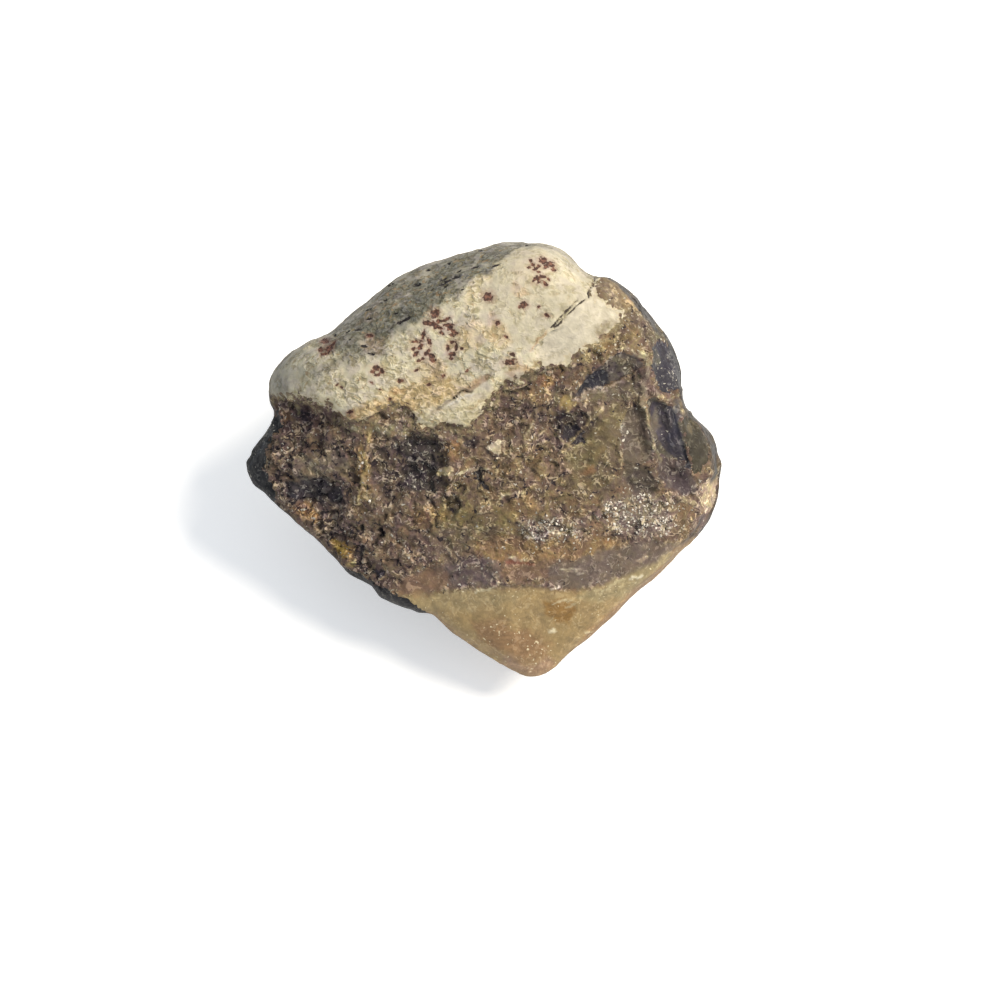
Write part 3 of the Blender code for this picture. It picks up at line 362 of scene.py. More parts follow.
# Lines: the colour, its strength, the width, how far it stands up, and its path
LINES = (
    # light rib beside the trough
    ("#827c67", 0.6, 0.45, 0.1, ((24.3, 13.9), (23.7, 11.2), (23.6, 9.2), (24.1, 6.8), (24.8, 4.0),
        (25.5, 1.3), (26.1, 0.1))),
    # shadow beside the rib
    ("#2a2526", 0.85, 0.25, -0.12, ((24.4, 4.3), (24.9, 2.5), (25.3, 0.8))),
    # lip of facet b
    ("#857f69", 0.65, 0.22, 0.08, ((24.8, 10.7), (25.9, 9.3), (27.8, 8.8), (29.2, 9.9), (30.0, 10.9))),
    # lip of the crescent
    ("#837d68", 0.6, 0.24, 0.06, ((19.3, 16.1), (21.4, 16.2), (22.9, 15.1), (24.4, 14.2))),
    # foot of the crescent: a painted highlight on the scar's lower lip
    ("#a1968a", 0.85, 0.22, 0.1, ((13.0, 8.7), (14.2, 9.3), (16.1, 9.9), (17.8, 10.7), (19.3, 11.1),
        (20.8, 11.5))),
    # rim of the dark oval
    ("#8d8468", 0.75, 0.2, 0.1, ((10.8, 3.6), (11.7, 2.4), (13.2, 1.6), (14.8, 2.1))),
    # dark outline of the pale blob
    ("#2e2828", 0.8, 0.2, -0.2, ((0.4, 2.2), (0.8, 1.1), (1.6, 0.0), (3.0, 0.1))),
    # grey line below the crack: a painted shadow
    ("#a49f92", 0.6, 0.25, -0.12, ((12.6, 19.6), (11.5, 19.1), (10.3, 18.4), (9.3, 17.7), (8.5, 16.9),
        (7.6, 16.3))),
    # end of the crack
    ("#9a7d5c", 0.8, 0.3, 0, ((9.3, 18.6), (8.2, 17.6), (7.6, 16.8), (6.9, 15.9))),
    # line to the rim chip
    ("#8d8068", 0.7, 0.45, 0.15, ((28.2, -4.8), (29.8, -5.8), (32.5, -7.3))),
    # edge of the olive facet
    ("#8f8468", 0.6, 0.35, 0.2, ((29.2, 6.8), (30.1, 7.3), (31.0, 6.8))),
    # white dashes
    ("#c9c4b4", 0.9, 0.28, 0.08, ((6.5, -11.5), (7.5, -11.4), (8.5, -11.4))),
    ("#c9c4b4", 0.9, 0.28, 0.08, ((9.2, -11.2), (10.0, -10.9), (11.5, -10.8))),
    ("#b9b19c", 0.7, 0.2, 0.08, ((11.8, -10.9), (13.3, -10.7))),
    ("#b0a68e", 0.7, 0.2, 0.08, ((3.8, -14.7), (5.2, -14.8), (6.5, -14.7))),
    ("#b4ab96", 0.6, 0.2, 0.08, ((11.7, -16.3), (13.0, -16.1), (14.2, -16.3))),
    ("#bbb29d", 0.6, 0.22, 0.08, ((13.9, -16.9), (15.1, -16.8))),
    ("#cbc4b0", 0.75, 0.25, 0.08, ((10.0, -19.1), (11.1, -18.8))),
    ("#c2b796", 0.75, 0.24, 0.08, ((-0.8, -19.5), (0.8, -19.1), (2.5, -18.6))),
    ("#bbb08f", 0.6, 0.2, 0.08, ((10.3, -21.6), (11.8, -21.0), (13.2, -20.7))),
    ("#b5aa88", 0.5, 0.2, 0.08, ((12.3, -22.1), (13.3, -21.6), (14.2, -21.1))),
    ("#cfc5a6", 0.75, 0.24, 0.08, ((9.6, -25.6), (10.8, -25.3))),
    ("#d0c8ae", 0.75, 0.24, 0.08, ((21.9, -17.7), (23.6, -17.2))),
    ("#c4b894", 0.7, 0.22, 0.08, ((15.1, -25.8), (16.2, -25.6))),
    ("#b3a884", 0.6, 0.2, 0.08, ((17.6, -19.3), (19.3, -18.6), (21.1, -18.0))),
    ("#a89f84", 0.8, 0.22, 0.08, ((-4.6, -2.5), (-1.9, -1.6), (0.8, -1.3))),
    ("#a89f84", 0.7, 0.22, 0.08, ((2.5, -5.7), (4.3, -5.0), (5.8, -4.6))),
    # light ridges
    ("#9a8a66", 0.7, 0.35, 0.3, ((-16.6, 3.4), (-17.2, 1.1), (-17.6, -1.6), (-17.8, -4.0), (-18.4, -6.1))),
    ("#8a7d5e", 0.6, 0.3, 0.3, ((17.6, 8.2), (16.1, 5.8), (13.9, 3.4), (11.5, 1.1))),
    ("#8d8468", 0.6, 0.3, 0.3, ((7.9, 7.0), (6.8, 4.3), (6.1, 1.9))),
    # dark joints
    ("#2a2426", 0.8, 0.3, -0.4, ((-1.1, -0.4), (-0.4, -2.2), (-0.8, -4.3))),
    ("#2a2426", 0.7, 0.25, -0.4, ((-15.4, -9.2), (-15.1, -11.2), (-16.1, -13.0))),
    ("#332b2a", 0.6, 0.25, -0.4, ((0.1, -1.6), (2.5, -2.9), (5.5, -3.1))),
    ("#332b2a", 0.6, 0.25, -0.4, ((-7.9, -6.1), (-6.5, -7.9), (-6.8, -10.0))),
    # rust line
    ("#6b4030", 0.8, 0.3, 0, ((3.3, -15.1), (5.2, -15.1), (7.6, -15.3))),
    # second painted highlight at the foot of the crescent
    ("#8d8378", 0.7, 0.22, 0, ((13.7, 8.5), (15.1, 9.2), (16.9, 9.8), (18.4, 10.3))),
    # dark line of the red belt
    ("#5a463c", 0.5, 0.3, 0, ((8.5, -15.9), (10.9, -15.1), (12.4, -14.5))),
    # shadow under the ledge
    ("#5a4d3f", 0.7, 0.24, -0.55, ((-4.2, 9.2), (-3.4, 9.7), (-2.5, 10.0), (-1.5, 10.0))),
    # end of the shadow under the ledge: a painted shadow
    ("#6b5a46", 0.8, 0.25, -0.3, ((-6.8, 7.5), (-5.2, 8.2), (-3.9, 9.2))),
    # edge below the ledge: a painted highlight
    ("#bab8ad", 0.6, 0.3, 0.15, ((-5.0, 7.8), (-3.8, 8.5), (-2.4, 9.0), (-1.1, 9.8))),
    # reddish line past the ledge
    ("#86603f", 0.7, 0.5, -0.25, ((-2.5, 9.8), (-1.3, 10.7), (-0.1, 11.5), (0.9, 12.3))),
    # hem of the pale rim chip
    ("#5b4a3e", 0.5, 0.4, 0, ((32.2, -6.8), (33.4, -8.2))),
    # edge of the slate tip: a faint painted highlight
    ("#2a3038", 0.5, 0.4, 0, ((-31.6, 4.3), (-33.1, 1.9), (-34.6, -0.1), (-34.9, -1.3))),
    # ribs on the shoulder
    ("#5a4630", 0.7, 0.35, -0.15, ((21.1, 23.8), (22.1, 22.9), (22.3, 21.8))),
    ("#5a4630", 0.7, 0.35, -0.15, ((22.1, 24.1), (22.9, 23.2), (23.2, 22.1))),
    ("#5a4630", 0.7, 0.35, -0.15, ((22.6, 24.8), (23.7, 23.8), (24.0, 22.6))),
    ("#c1ab84", 0.6, 0.3, -0.15, ((21.6, 23.8), (22.5, 22.9), (22.8, 21.9))),
)
# Dark red stains on the rind, as turned ellipses: the middle, length, width and turn
STAINS = (
    # the rosette on the brow
    ((-7.0, 21.3), 1.3, 1.2, 0), ((-8.2, 19.9), 1.2, 0.82, -10), ((-7.3, 19.8), 0.9, 0.82, 0),
    ((-6.3, 19.2), 1.1, 0.53, -20), ((-5.4, 20.4), 1.5, 0.48, 25), ((-5.1, 19.6), 1.5, 0.45, 0),
    ((-4.8, 19.1), 0.75, 0.67, 0), ((-4.2, 18.6), 1.3, 0.54, -35), ((-6.9, 19.3), 0.75, 0.6, 30),
    ((-6.5, 20.1), 0.75, 0.6, 60), ((-6.0, 18.4), 0.9, 0.45, -35), ((-4.6, 18.1), 0.9, 0.45, -30),
    # the fern below it
    ((-8.7, 18.1), 1.5, 0.54, 75), ((-9.9, 17.2), 1.2, 0.6, -5), ((-7.8, 17.2), 1.6, 0.51, -75),
    ((-10.2, 16.1), 1.1, 0.51, 0), ((-9.8, 15.4), 1.1, 0.6, 40), ((-8.8, 14.7), 0.75, 0.6, 0),
    ((-9.4, 14.4), 0.6, 0.45, 0), ((-7.5, 15.1), 0.9, 0.67, -40), ((-7.3, 14.4), 0.9, 0.6, 0),
    ((-7.9, 15.9), 0.75, 0.51, 70), ((-9.0, 16.6), 0.75, 0.45, 60), ((-8.4, 15.4), 0.75, 0.45, -60),
    ((-9.3, 16.2), 0.75, 0.45, 0),
    # the pair to its right
    ((-4.5, 17.1), 1.2, 0.51, 0), ((-3.9, 16.3), 0.51, 1.3, 0), ((-5.1, 16.3), 0.51, 1.2, 0),
    ((-4.5, 15.4), 1.1, 0.54, 0), ((-4.6, 14.7), 0.6, 0.45, 0),
    # the star near the top
    ((7.0, 29.2), 0.53, 0.53, 0), ((7.3, 28.6), 0.9, 0.45, -45), ((6.8, 28.1), 0.67, 0.39, 0),
    ((7.6, 27.8), 0.75, 0.51, 30), ((8.2, 28.3), 0.75, 0.51, 0), ((8.8, 29.2), 1.1, 1.1, 0),
    ((9.3, 28.3), 0.9, 0.67, 20), ((10.0, 28.6), 1.1, 0.9, 0), ((10.3, 27.9), 0.9, 0.67, -30),
    ((8.2, 27.4), 0.6, 0.39, 0),
    # the tuft under it
    ((7.5, 26.2), 1.2, 0.39, 60), ((8.1, 26.4), 0.75, 0.6, 0), ((8.7, 26.7), 1.1, 0.54, 0),
    ((9.0, 25.9), 0.75, 0.39, -50), ((9.6, 26.4), 0.75, 0.39, -60), ((9.2, 25.5), 0.75, 0.51, 0),
    ((8.2, 25.9), 0.75, 0.39, 40),
    # spots across the brow
    ((0.8, 23.7), 1.3, 1.3, 0), ((6.0, 22.5), 1.1, 0.97, 0), ((5.4, 22.2), 0.54, 0.51, 0),
    ((9.4, 21.0), 0.82, 0.67, 0), ((8.2, 22.2), 0.45, 0.45, 0), ((2.2, 19.8), 0.6, 0.75, 0),
    ((3.4, 17.8), 0.75, 0.51, -30), ((4.0, 14.2), 1.9, 0.9, 8), ((4.3, 15.3), 0.75, 0.45, 0),
    ((-12.0, 11.5), 1.1, 0.6, 10), ((-15.0, 10.2), 0.45, 0.36, 0), ((-19.5, 6.9), 0.9, 0.54, 20),
    ((-9.8, 13.0), 0.75, 0.39, 20), ((-3.1, 16.1), 0.6, 0.39, 0), ((-13.7, 8.8), 0.6, 0.45, 0),
    ((-16.3, 11.2), 0.6, 0.39, -30), ((-5.8, 12.2), 0.75, 0.45, 40), ((-2.2, 13.0), 0.9, 0.39, 40),
    ((-7.9, 10.9), 0.6, 0.45, 0),
    # the nose
    ((-23.4, 17.6), 1.3, 0.9, 0), ((-22.8, 16.5), 1.2, 1.2, 0), ((-24.0, 16.2), 0.75, 0.75, 0),
    ((-23.4, 15.6), 1.2, 0.6, 10), ((-22.1, 17.1), 1.1, 0.45, 40), ((-15.6, 13.3), 1.2, 0.9, 0),
    ((-14.8, 12.8), 0.9, 0.9, 0), ((-16.2, 12.8), 0.75, 0.6, 0), ((-15.4, 12.3), 0.9, 0.45, 0),
    ((-20.8, 10.5), 0.6, 0.3, -30), ((-21.4, 10.9), 0.6, 0.3, 30), ((-16.6, 18.1), 0.9, 0.54, 0),
)
# Slits in the rind, in the same way
SLITS = (
    ((-17.4, 16.6), 1.1, 0.39, 0), ((-16.3, 15.4), 1.2, 0.39, -15), ((-18.4, 19.1), 1.1, 0.36, 5),
    ((-21.9, 18.4), 0.51, 0.45, 0), ((-5.5, 25.9), 0.45, 1.8, -62), ((-4.0, 26.7), 1.5, 0.48, 18),
    ((-5.8, 26.4), 1.2, 0.36, 30), ((-9.8, 25.9), 1.2, 0.45, 8), ((-8.5, 25.1), 0.45, 0.3, 0),
    ((-7.5, 24.9), 0.45, 0.3, 20), ((-1.2, 28.2), 1.2, 0.33, 20), ((1.9, 28.5), 1.5, 0.39, 25),
    ((5.0, 31.3), 0.9, 0.33, 10), ((-13.7, 26.1), 1.1, 0.39, 25), ((-16.9, 22.2), 1.1, 0.45, 12),
    ((-16.8, 20.8), 0.9, 0.36, 15), ((-11.4, 20.6), 2.1, 0.39, 18), ((-12.3, 20.2), 0.75, 0.36, 60),
    ((-12.9, 21.6), 0.9, 0.3, 20), ((-5.1, 29.2), 0.51, 0.36, 0), ((-8.2, 28.1), 0.75, 0.39, 0),
    ((-14.5, 23.6), 0.6, 0.3, 20), ((-3.0, 24.8), 0.6, 0.3, 15), ((-12.4, 20.1), 0.6, 0.45, 0),
    ((-19.6, 17.6), 0.45, 0.3, 0), ((-0.4, 31.2), 0.75, 0.3, 10), ((-3.6, 27.8), 0.75, 0.3, 20),
    ((-5.4, 25.3), 0.9, 0.33, 35), ((-2.2, 31.3), 0.6, 0.27, 10), ((-19.9, 18.8), 0.75, 0.3, 30),
    ((6.5, 31.8), 0.6, 0.3, 0),
)
# The crack, as two branches side by side
CRACK = (
    ((16.6, 27.1), (16.4, 26.4), (16.1, 25.6), (15.8, 25.1), (15.5, 24.4), (15.8, 23.8), (15.1, 23.3),
        (14.4, 22.9), (13.8, 22.3), (13.2, 21.6), (12.4, 20.9), (11.8, 20.2), (11.1, 19.5), (10.5, 19.1)),
    ((13.9, 23.3), (13.3, 22.8), (12.8, 22.1), (12.2, 21.6), (11.7, 21.0), (11.1, 20.4), (10.5, 19.6),
        (10.0, 19.1)),
)


def smooth(low, high, value):
    """0 at `low`, 1 at `high`, and a smooth ramp between."""
    t = np.clip((value - low) / (high - low), 0, 1)
    return t * t * (3 - 2 * t)


def inside_by(x, y, corners):
    """How far each point lies inside the closed shape that these corners make. It is negative outside."""
    nearest = np.full(x.shape, np.inf)
    inside = np.zeros(x.shape, bool)
    for (ax, ay), (bx, by) in zip(corners, corners[1:] + corners[:1]):
        length = (bx - ax) ** 2 + (by - ay) ** 2
        along = np.clip(((x - ax) * (bx - ax) + (y - ay) * (by - ay)) / length, 0, 1)
        nearest = np.minimum(nearest, np.hypot(x - ax - along * (bx - ax), y - ay - along * (by - ay)))
        if ay != by:
            crosses = (ay > y) != (by > y)
            inside ^= crosses & (x < ax + (y - ay) / (by - ay) * (bx - ax))
    return np.where(inside, nearest, -nearest)


def off_path(x, y, path):
    """Distance from each point to the path."""
    nearest = np.full(x.shape, np.inf)
    for (ax, ay), (bx, by) in zip(path, path[1:]):
        along = ((x - ax) * (bx - ax) + (y - ay) * (by - ay)) / ((bx - ax) ** 2 + (by - ay) ** 2)
        along = np.clip(along, 0, 1)
        nearest = np.minimum(nearest, np.hypot(x - ax - along * (bx - ax), y - ay - along * (by - ay)))
    return nearest


def out_of(x, y, at, length, width, turn):
    """0 at the middle of a turned ellipse of this length and width, 1 on its edge, and growing outside."""
    c, s = math.cos(math.radians(turn)), math.sin(math.radians(turn))
    u, v = x - at[0], y - at[1]
    return np.hypot((c * u + s * v) / (length / 2), (c * v - s * u) / (width / 2))


def linear(colour):
    """A linear colour from an sRGB hex value."""
    parts = [int(colour[i : i + 2], 16) / 255 for i in (1, 3, 5)]
    return [part / 12.92 if part <= 0.04045 else ((part + 0.055) / 1.055) ** 2.4 for part in parts]


def put(name, data):
    """A new object in the scene."""
    made = bpy.data.objects.new(name, data)
    bpy.context.collection.objects.link(made)
    return made


def made_plain(piece):
    """Turns what the piece's modifiers make into its own mesh."""
    piece.data = bpy.data.meshes.new_from_object(piece.evaluated_get(bpy.context.evaluated_depsgraph_get()))
    piece.modifiers.clear()
    return piece.data


def read_points(mesh, values="co"):
    """The mesh's points, or its points' normals, one row each."""
    rows = np.empty(len(mesh.vertices) * 3)
    mesh.vertices.foreach_get(values, rows)
    return rows.reshape(-1, 3)


to_face = np.array(FACE_TO_WORLD.inverted())


def in_face(points):
    """Points in the face's frame, in millimetres, one row for each of X, Y and Z."""
    return (points @ to_face[:3, :3].T + to_face[:3, 3]).T / MM


# The skin is the solid's own, remade from even faces so that the grain can stand up from it. Most of
# its faces go to the side that faces up.
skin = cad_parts["rough_stone"].data.copy()
welded = bmesh.new()
welded.from_mesh(skin)
bmesh.ops.remove_doubles(welded, verts=welded.verts, dist=0.001 * MM)
welded.to_mesh(skin)
welded.free()
skin.materials.clear()
stone = put("stone", skin)
even = stone.modifiers.new("even faces", "REMESH")
even.mode = "VOXEL"
even.voxel_size = SKIN_FACE * MM
blend_facets = stone.modifiers.new("blend facets", "SMOOTH")
blend_facets.factor = 0.5
blend_facets.iterations = 4
skin = made_plain(stone)
across, _, depth = in_face(read_points(skin))
shares = {"back": depth < BACK, "left tip": smooth(TIP_STARTS, TIP_FULL, across)}
for name, share in shares.items():
    group = stone.vertex_groups.new(name=name)
    for index in np.nonzero(share)[0]:
        group.add([int(index)], float(share[index]), "REPLACE")
blunt = stone.modifiers.new("blunt the left tip", "SMOOTH")
blunt.factor = 0.5
blunt.iterations = TIP_ROUNDS
blunt.vertex_group = "left tip"
thin_out = stone.modifiers.new("thin out the back", "DECIMATE")
thin_out.ratio = min(1.0, SKIN_FACES_MOST / len(skin.polygons))
thin_out.vertex_group = "back"
thin_out.vertex_group_factor = 1000  # all of the thinning is done there
skin = made_plain(stone)
stone.vertex_groups.clear()
x, y, z = in_face(read_points(skin))
for at, length, width, turn, push in BULGES:  # they fade out 10 to 14 mm down the sides
    share = smooth(1.3, 0.7, out_of(x, y, at, length, width, turn)) * smooth(-14, -10, z)
    x, y = x + push[0] * share, y + push[1] * share
to_world = np.array(FACE_TO_WORLD)
moved = np.stack([x, y, z], 1) * MM @ to_world[:3, :3].T + to_world[:3, 3]
skin.vertices.foreach_set("co", moved.ravel())
skin.update()
facing = (read_points(skin, "normal") @ to_face[:3, :3].T)[:, 2]  # 1 where the skin looks out of the face


def keep(name, values, kind="FLOAT"):
    """Stores one value, or one vector or colour, for each point of the skin."""
    layer = skin.attributes.new(name, kind, "POINT")
    field = {"FLOAT": "value", "FLOAT_VECTOR": "vector", "FLOAT_COLOR": "color"}[kind]
    layer.data.foreach_set(field, np.ascontiguousarray(values, np.float32).ravel())


noise.seed_set(WANDER_SEED)  # without a seed of its own, Blender's noise starts from the clock


def wandering(size):
    """For each point, a smooth random vector whose swings are this many millimetres apart."""
    return np.array([noise.noise_vector(p) for p in (np.stack([x, y, z], 1) / size).tolist()])


def out_of_nearest(marks):
    """0 at the middle of the nearest mark, 1 on its edge, and growing outside. Behind, all are far off."""
    nearest = np.full(x.shape, FAR)
    for at, length, width, turn in marks:
        nearest = np.minimum(nearest, out_of(x, y, at, length, width, turn))
    return nearest + FAR * (1 - front)


# How far each point lies inside the rind, and inside the wedge. Behind, the rind reaches further down
# the deeper it goes, and the wedge's honey colour stays near its thin edge.
RIND_BEHIND = 21.3  # mm up the face, where the rind's edge starts behind X = 0
RIND_CLIMB, RIND_DROP = 0.35, 1.5  # how far that edge climbs for each mm across, and drops for each mm down
WEDGE_THIN = 1.6  # how far the honey colour draws back for each mm down
front = smooth(-1.5, 1.5, z)
rind_behind = y - RIND_BEHIND - RIND_CLIMB * x - RIND_DROP * z
rind_in = rind_behind + (inside_by(x, y, RIND_EDGE) - rind_behind) * front
wedge_in = np.interp(x, *zip(*WEDGE_TOP)) - y + WEDGE_THIN * np.minimum(z + 0.5, 0)
keep("rind_in", rind_in)
keep("wedge_in", wedge_in)
keep("stain", out_of_nearest(STAINS))
keep("slit", out_of_nearest(SLITS))
keep("crack", np.minimum(off_path(x, y, CRACK[0]), off_path(x, y, CRACK[1])) + FAR * (1 - front))

# The local look of the stone, under its grain: its colour, and its finish, which is how smooth it is
# and how thick the light specks and the dark pits are. Borders wander by about a grain.
CORE = (*linear("#65574a"), 0.05, 0.35, 0.4)
RIND = (*linear("#b0a88d"), 0.25, 0.2, 0.3)
HONEY = (*linear("#907b55"), 0.75, 0.2, 0.05)
# The next colour is dark slate for the back and painted shade where the sides turn away from the face; the
# two after it are painted shade where the rind and the wedge turn away.
SLATE_AND_PAINTED_SHADE = (*linear("#151519"), 1.0, 0.05, 0.1)
RIND_PAINTED_SHADE = (*linear("#76736a"), 0.4, 0.1, 0.3)
WEDGE_PAINTED_SHADE = (*linear("#6b5238"), 0.6, 0.2, 0.1)
ON_LINES = (0.5, 0.2, 0.0)  # the finish of every line
wander = wandering(2.2)[:, :2].T
wander_fine = (wandering(0.9) + 0.7 * wandering(0.45))[:, :2].T
loose_x, loose_y = np.array((x, y)) + 0.9 * wander + 0.4 * wander_fine  # where a soft border wanders to
close_x, close_y = np.array((x, y)) + 0.5 * wander + 0.3 * wander_fine  # and a crisper one
outward = facing + 0.15 * wander[0]
look = np.tile(CORE, (len(x), 1))
rind_look = np.tile(RIND, (len(x), 1))
cut = np.zeros(x.shape)  # how deep the scars and hollows are cut into the skin, in millimetres


def lay(coat, new, share):
    """Lays a look over a coat, by this share of each point."""
    coat += (np.array(new) - coat) * share[:, None]


in_rind, in_wedge = smooth(-0.6, 0.6, rind_in), smooth(-0.6, 0.6, wedge_in)
turned_away = np.maximum(1 - front, smooth(0.45, 0.22, outward))
lay(look, HONEY, in_wedge)


def coat_at(across, up):
    """The coat that this place belongs to: the rind's, or that of the stone inside."""
    return rind_look if inside_by(np.array([across]), np.array([up]), RIND_EDGE)[0] > 0 else look


patch_in = np.full(x.shape, -FAR)  # how far each point lies inside the nearest crisp patch
patch = np.tile(CORE, (len(x), 1))
for colour, strength, edge, finish, dug, outline in ZONES:
    if edge <= 0:
        inside = inside_by(x, y, outline) - (FAR * (1 - front) if edge == 0 else 0)
        here = (inside > 0) | (inside > patch_in)
        patch[here] = (*linear(colour), *finish)
        patch_in = np.maximum(patch_in, inside)
        cut += dug * smooth(-0.35, 0.35, inside) * front
        continue
    loose = min(edge / 1.5, 1.0)
    at_x, at_y = close_x + (loose_x - close_x) * loose, close_y + (loose_y - close_y) * loose
    share = smooth(-edge / 2, edge / 2, inside_by(at_x, at_y, outline))
    lay(coat_at(*np.mean(outline, 0)), (*linear(colour), *finish), strength * share * front)
    cut += dug * share * front
for colour, at, length, width, turn, strength, finish, dug in SPREADS:
    share = smooth(1.2, 0.6, out_of(loose_x, loose_y, at, length, width, turn))
    for coat in (coat_at(*at), patch):
        lay(coat, (*linear(colour), *finish), strength * share * front)
    cut += dug * share * front
for colour, strength, width, rise, path in LINES:
    share = smooth(width, width / 4, off_path(close_x, close_y, path))
    for coat in (look, rind_look, patch):
        lay(coat, (*linear(colour), *ON_LINES), strength * share * front)
    cut -= rise * share * front
# The back is dark slate. Where the sides turn away from the face, the same dark colour is painted shade, as
# are the darker rind and wedge laid below.
for coat in (look, patch):
    lay(coat, SLATE_AND_PAINTED_SHADE, 0.9 * turned_away * (1 - in_wedge))
lay(rind_look, RIND_PAINTED_SHADE, 0.8 * smooth(0.5, 0.2, outward))
lay(look, WEDGE_PAINTED_SHADE, 0.7 * smooth(0.6, 0.25, outward) * in_wedge)
for colour_name, finish_name, coat in (
    ("local", "finish", look), ("rind_local", "rind_finish", rind_look), ("patch", "patch_finish", patch),
):
    keep(colour_name, np.column_stack([coat[:, :3], np.ones(len(coat))]), "FLOAT_COLOR")
    keep(finish_name, coat[:, 3:], "FLOAT_VECTOR")
keep("patch_in", patch_in)
keep("cut", cut)
on_patch = smooth(-0.1, 0.1, patch_in)
specks = look[:, 4] + (patch[:, 4] - look[:, 4]) * on_patch
keep("sparkle", smooth(0.45, 0.95, specks) * (1 - in_rind) * (1 - 0.7 * in_wedge) * front)


# Plain words for the nodes that are used most: the node, the order in which its inputs are given, its
# output, and its settings
KINDS = {
    "times": ("ShaderNodeMath", (0, 1), 0, {"operation": "MULTIPLY"}),
    "times, plus": ("ShaderNodeMath", (0, 1, 2), 0, {"operation": "MULTIPLY_ADD"}),
    "plus": ("ShaderNodeMath", (0, 1), 0, {"operation": "ADD"}),
    "minus": ("ShaderNodeMath", (0, 1), 0, {"operation": "SUBTRACT"}),
    "larger": ("ShaderNodeMath", (0, 1), 0, {"operation": "MAXIMUM"}),
    "unsigned": ("ShaderNodeMath", (0,), 0, {"operation": "ABSOLUTE"}),
    "power": ("ShaderNodeMath", (0, 1), 0, {"operation": "POWER"}),
    "vector times": ("ShaderNodeVectorMath", (0, 1), 0, {"operation": "MULTIPLY"}),
    "vector times, plus": ("ShaderNodeVectorMath", (0, 1, 2), 0, {"operation": "MULTIPLY_ADD"}),
    "vector minus": ("ShaderNodeVectorMath", (0, 1), 0, {"operation": "SUBTRACT"}),
    "scaled": ("ShaderNodeVectorMath", ("Vector", "Scale"), 0, {"operation": "SCALE"}),
    "dot": ("ShaderNodeVectorMath", (0, 1), "Value", {"operation": "DOT_PRODUCT"}),
    "ramp": ("ShaderNodeMapRange", range(5), 0, {"interpolation_type": "SMOOTHSTEP"}),
    "blend": ("ShaderNodeMix", (0, 6, 7), 2, {"data_type": "RGBA"}),
    "blend vectors": ("ShaderNodeMix", (0, 4, 5), 1, {"data_type": "VECTOR"}),
    "blend numbers": ("ShaderNodeMix", (0, 2, 3), 0, {}),
    "noise": (
        "ShaderNodeTexNoise",
        ("Vector", "Scale", "Detail", "Roughness", "Distortion"),
        0,
        {"normalize": False},
    ),
    "random number": ("FunctionNodeRandomValue", (2, 3, 8), 1, {"data_type": "FLOAT"}),
    "random vector": ("FunctionNodeRandomValue", (0, 1, 8), 0, {"data_type": "FLOAT_VECTOR"}),
}


def add(tree, kind, inputs=(), out=None, **settings):
    """Adds a node with its settings, links or sets its inputs by order or by name, and gives an output."""
    kind, order, usual_out, usual_settings = KINDS.get(kind, (kind, range(len(inputs)), 0, {}))
    node = tree.nodes.new(kind)
    for name, value in (usual_settings | settings).items():
        setattr(node, name, value)
    for key, value in inputs.items() if isinstance(inputs, dict) else zip(order, inputs):
        if isinstance(value, bpy.types.NodeSocket):
            tree.links.new(value, node.inputs[key])
        else:
            node.inputs[key].default_value = value
    return node.outputs[usual_out if out is None else out]


def new_tree(name, sizes):
    """A Geometry Nodes tree with inputs for these sizes, what adds nodes to it, and those inputs."""
    tree = bpy.data.node_groups.new(name, "GeometryNodeTree")
    tree.interface.new_socket("Geometry", in_out="INPUT", socket_type="NodeSocketGeometry")
    for size in sizes:
        tree.interface.new_socket(size, in_out="INPUT", socket_type="NodeSocketFloat")
    tree.interface.new_socket("Finish", in_out="INPUT", socket_type="NodeSocketMaterial")
    tree.interface.new_socket("Geometry", in_out="OUTPUT", socket_type="NodeSocketGeometry")
    return tree, partial(add, tree), tree.nodes.new("NodeGroupInput").outputs


def grown(piece, tree, built, sizes, finish):
    """Ends the tree with what it built, runs it on the piece, and makes the result plain."""
    built = add(tree, "GeometryNodeRealizeInstances", {"Geometry": built})
    given = tree.nodes["Group Input"].outputs
    built = add(tree, "GeometryNodeSetMaterial", {"Geometry": built, "Material": given["Finish"]})
    tree.links.new(built, tree.nodes.new("NodeGroupOutput").inputs[0])
    run = piece.modifiers.new(tree.name, "NODES")
    run.node_group = tree
    inputs = {item.name: item.identifier for item in tree.interface.items_tree if item.in_out == "INPUT"}
    for name, value in {**sizes, "Finish": finish}.items():
        run[inputs[name]] = value
    return made_plain(piece)


def new_material(name, settings):
    """A material whose shader has these settings, what adds nodes to it, and the shader's inputs."""
    made = bpy.data.materials.new(name)
    made.use_nodes = True
    shader = made.node_tree.nodes["Principled BSDF"].inputs
    for socket, value in settings.items():
        shader[socket].default_value = value
    return made, partial(add, made.node_tree), shader


# The relief: broken facets on the core, a crumb on the rind, and the marks that are cut into it.
# Heights are in millimetres, out of the skin.
RELIEF = {
    "Rind crumb": 0.28, "Core facets": 0.6, "Core swell": 0.4, "Wedge ripple": 0.1, "Mark depth": 0.16,
}
BROAD_FACET, SMALL_FACET, SWELL = 2.3, 1.0, 3.4  # mm across, in the core
BROAD_CRUMB, SMALL_CRUMB, RIPPLE = 5.0, 1.7, 4.0  # mm across, on the rind, and on the wedge
SLIT_DEPTH, CRACK_DEPTH = 1.8, 2.0  # times the depth of a stain's mark
relief, in_relief, given = new_tree("stone relief", RELIEF)
on_skin = {
    name: in_relief("GeometryNodeInputNamedAttribute", {"Name": name}, data_type=kind)
    for name, kind in (
        ("rind_in", "FLOAT"), ("wedge_in", "FLOAT"), ("finish", "FLOAT_VECTOR"), ("cut", "FLOAT"),
        ("slit", "FLOAT"), ("stain", "FLOAT"), ("crack", "FLOAT"), ("patch_in", "FLOAT"),
        ("rind_finish", "FLOAT_VECTOR"),
    )
}


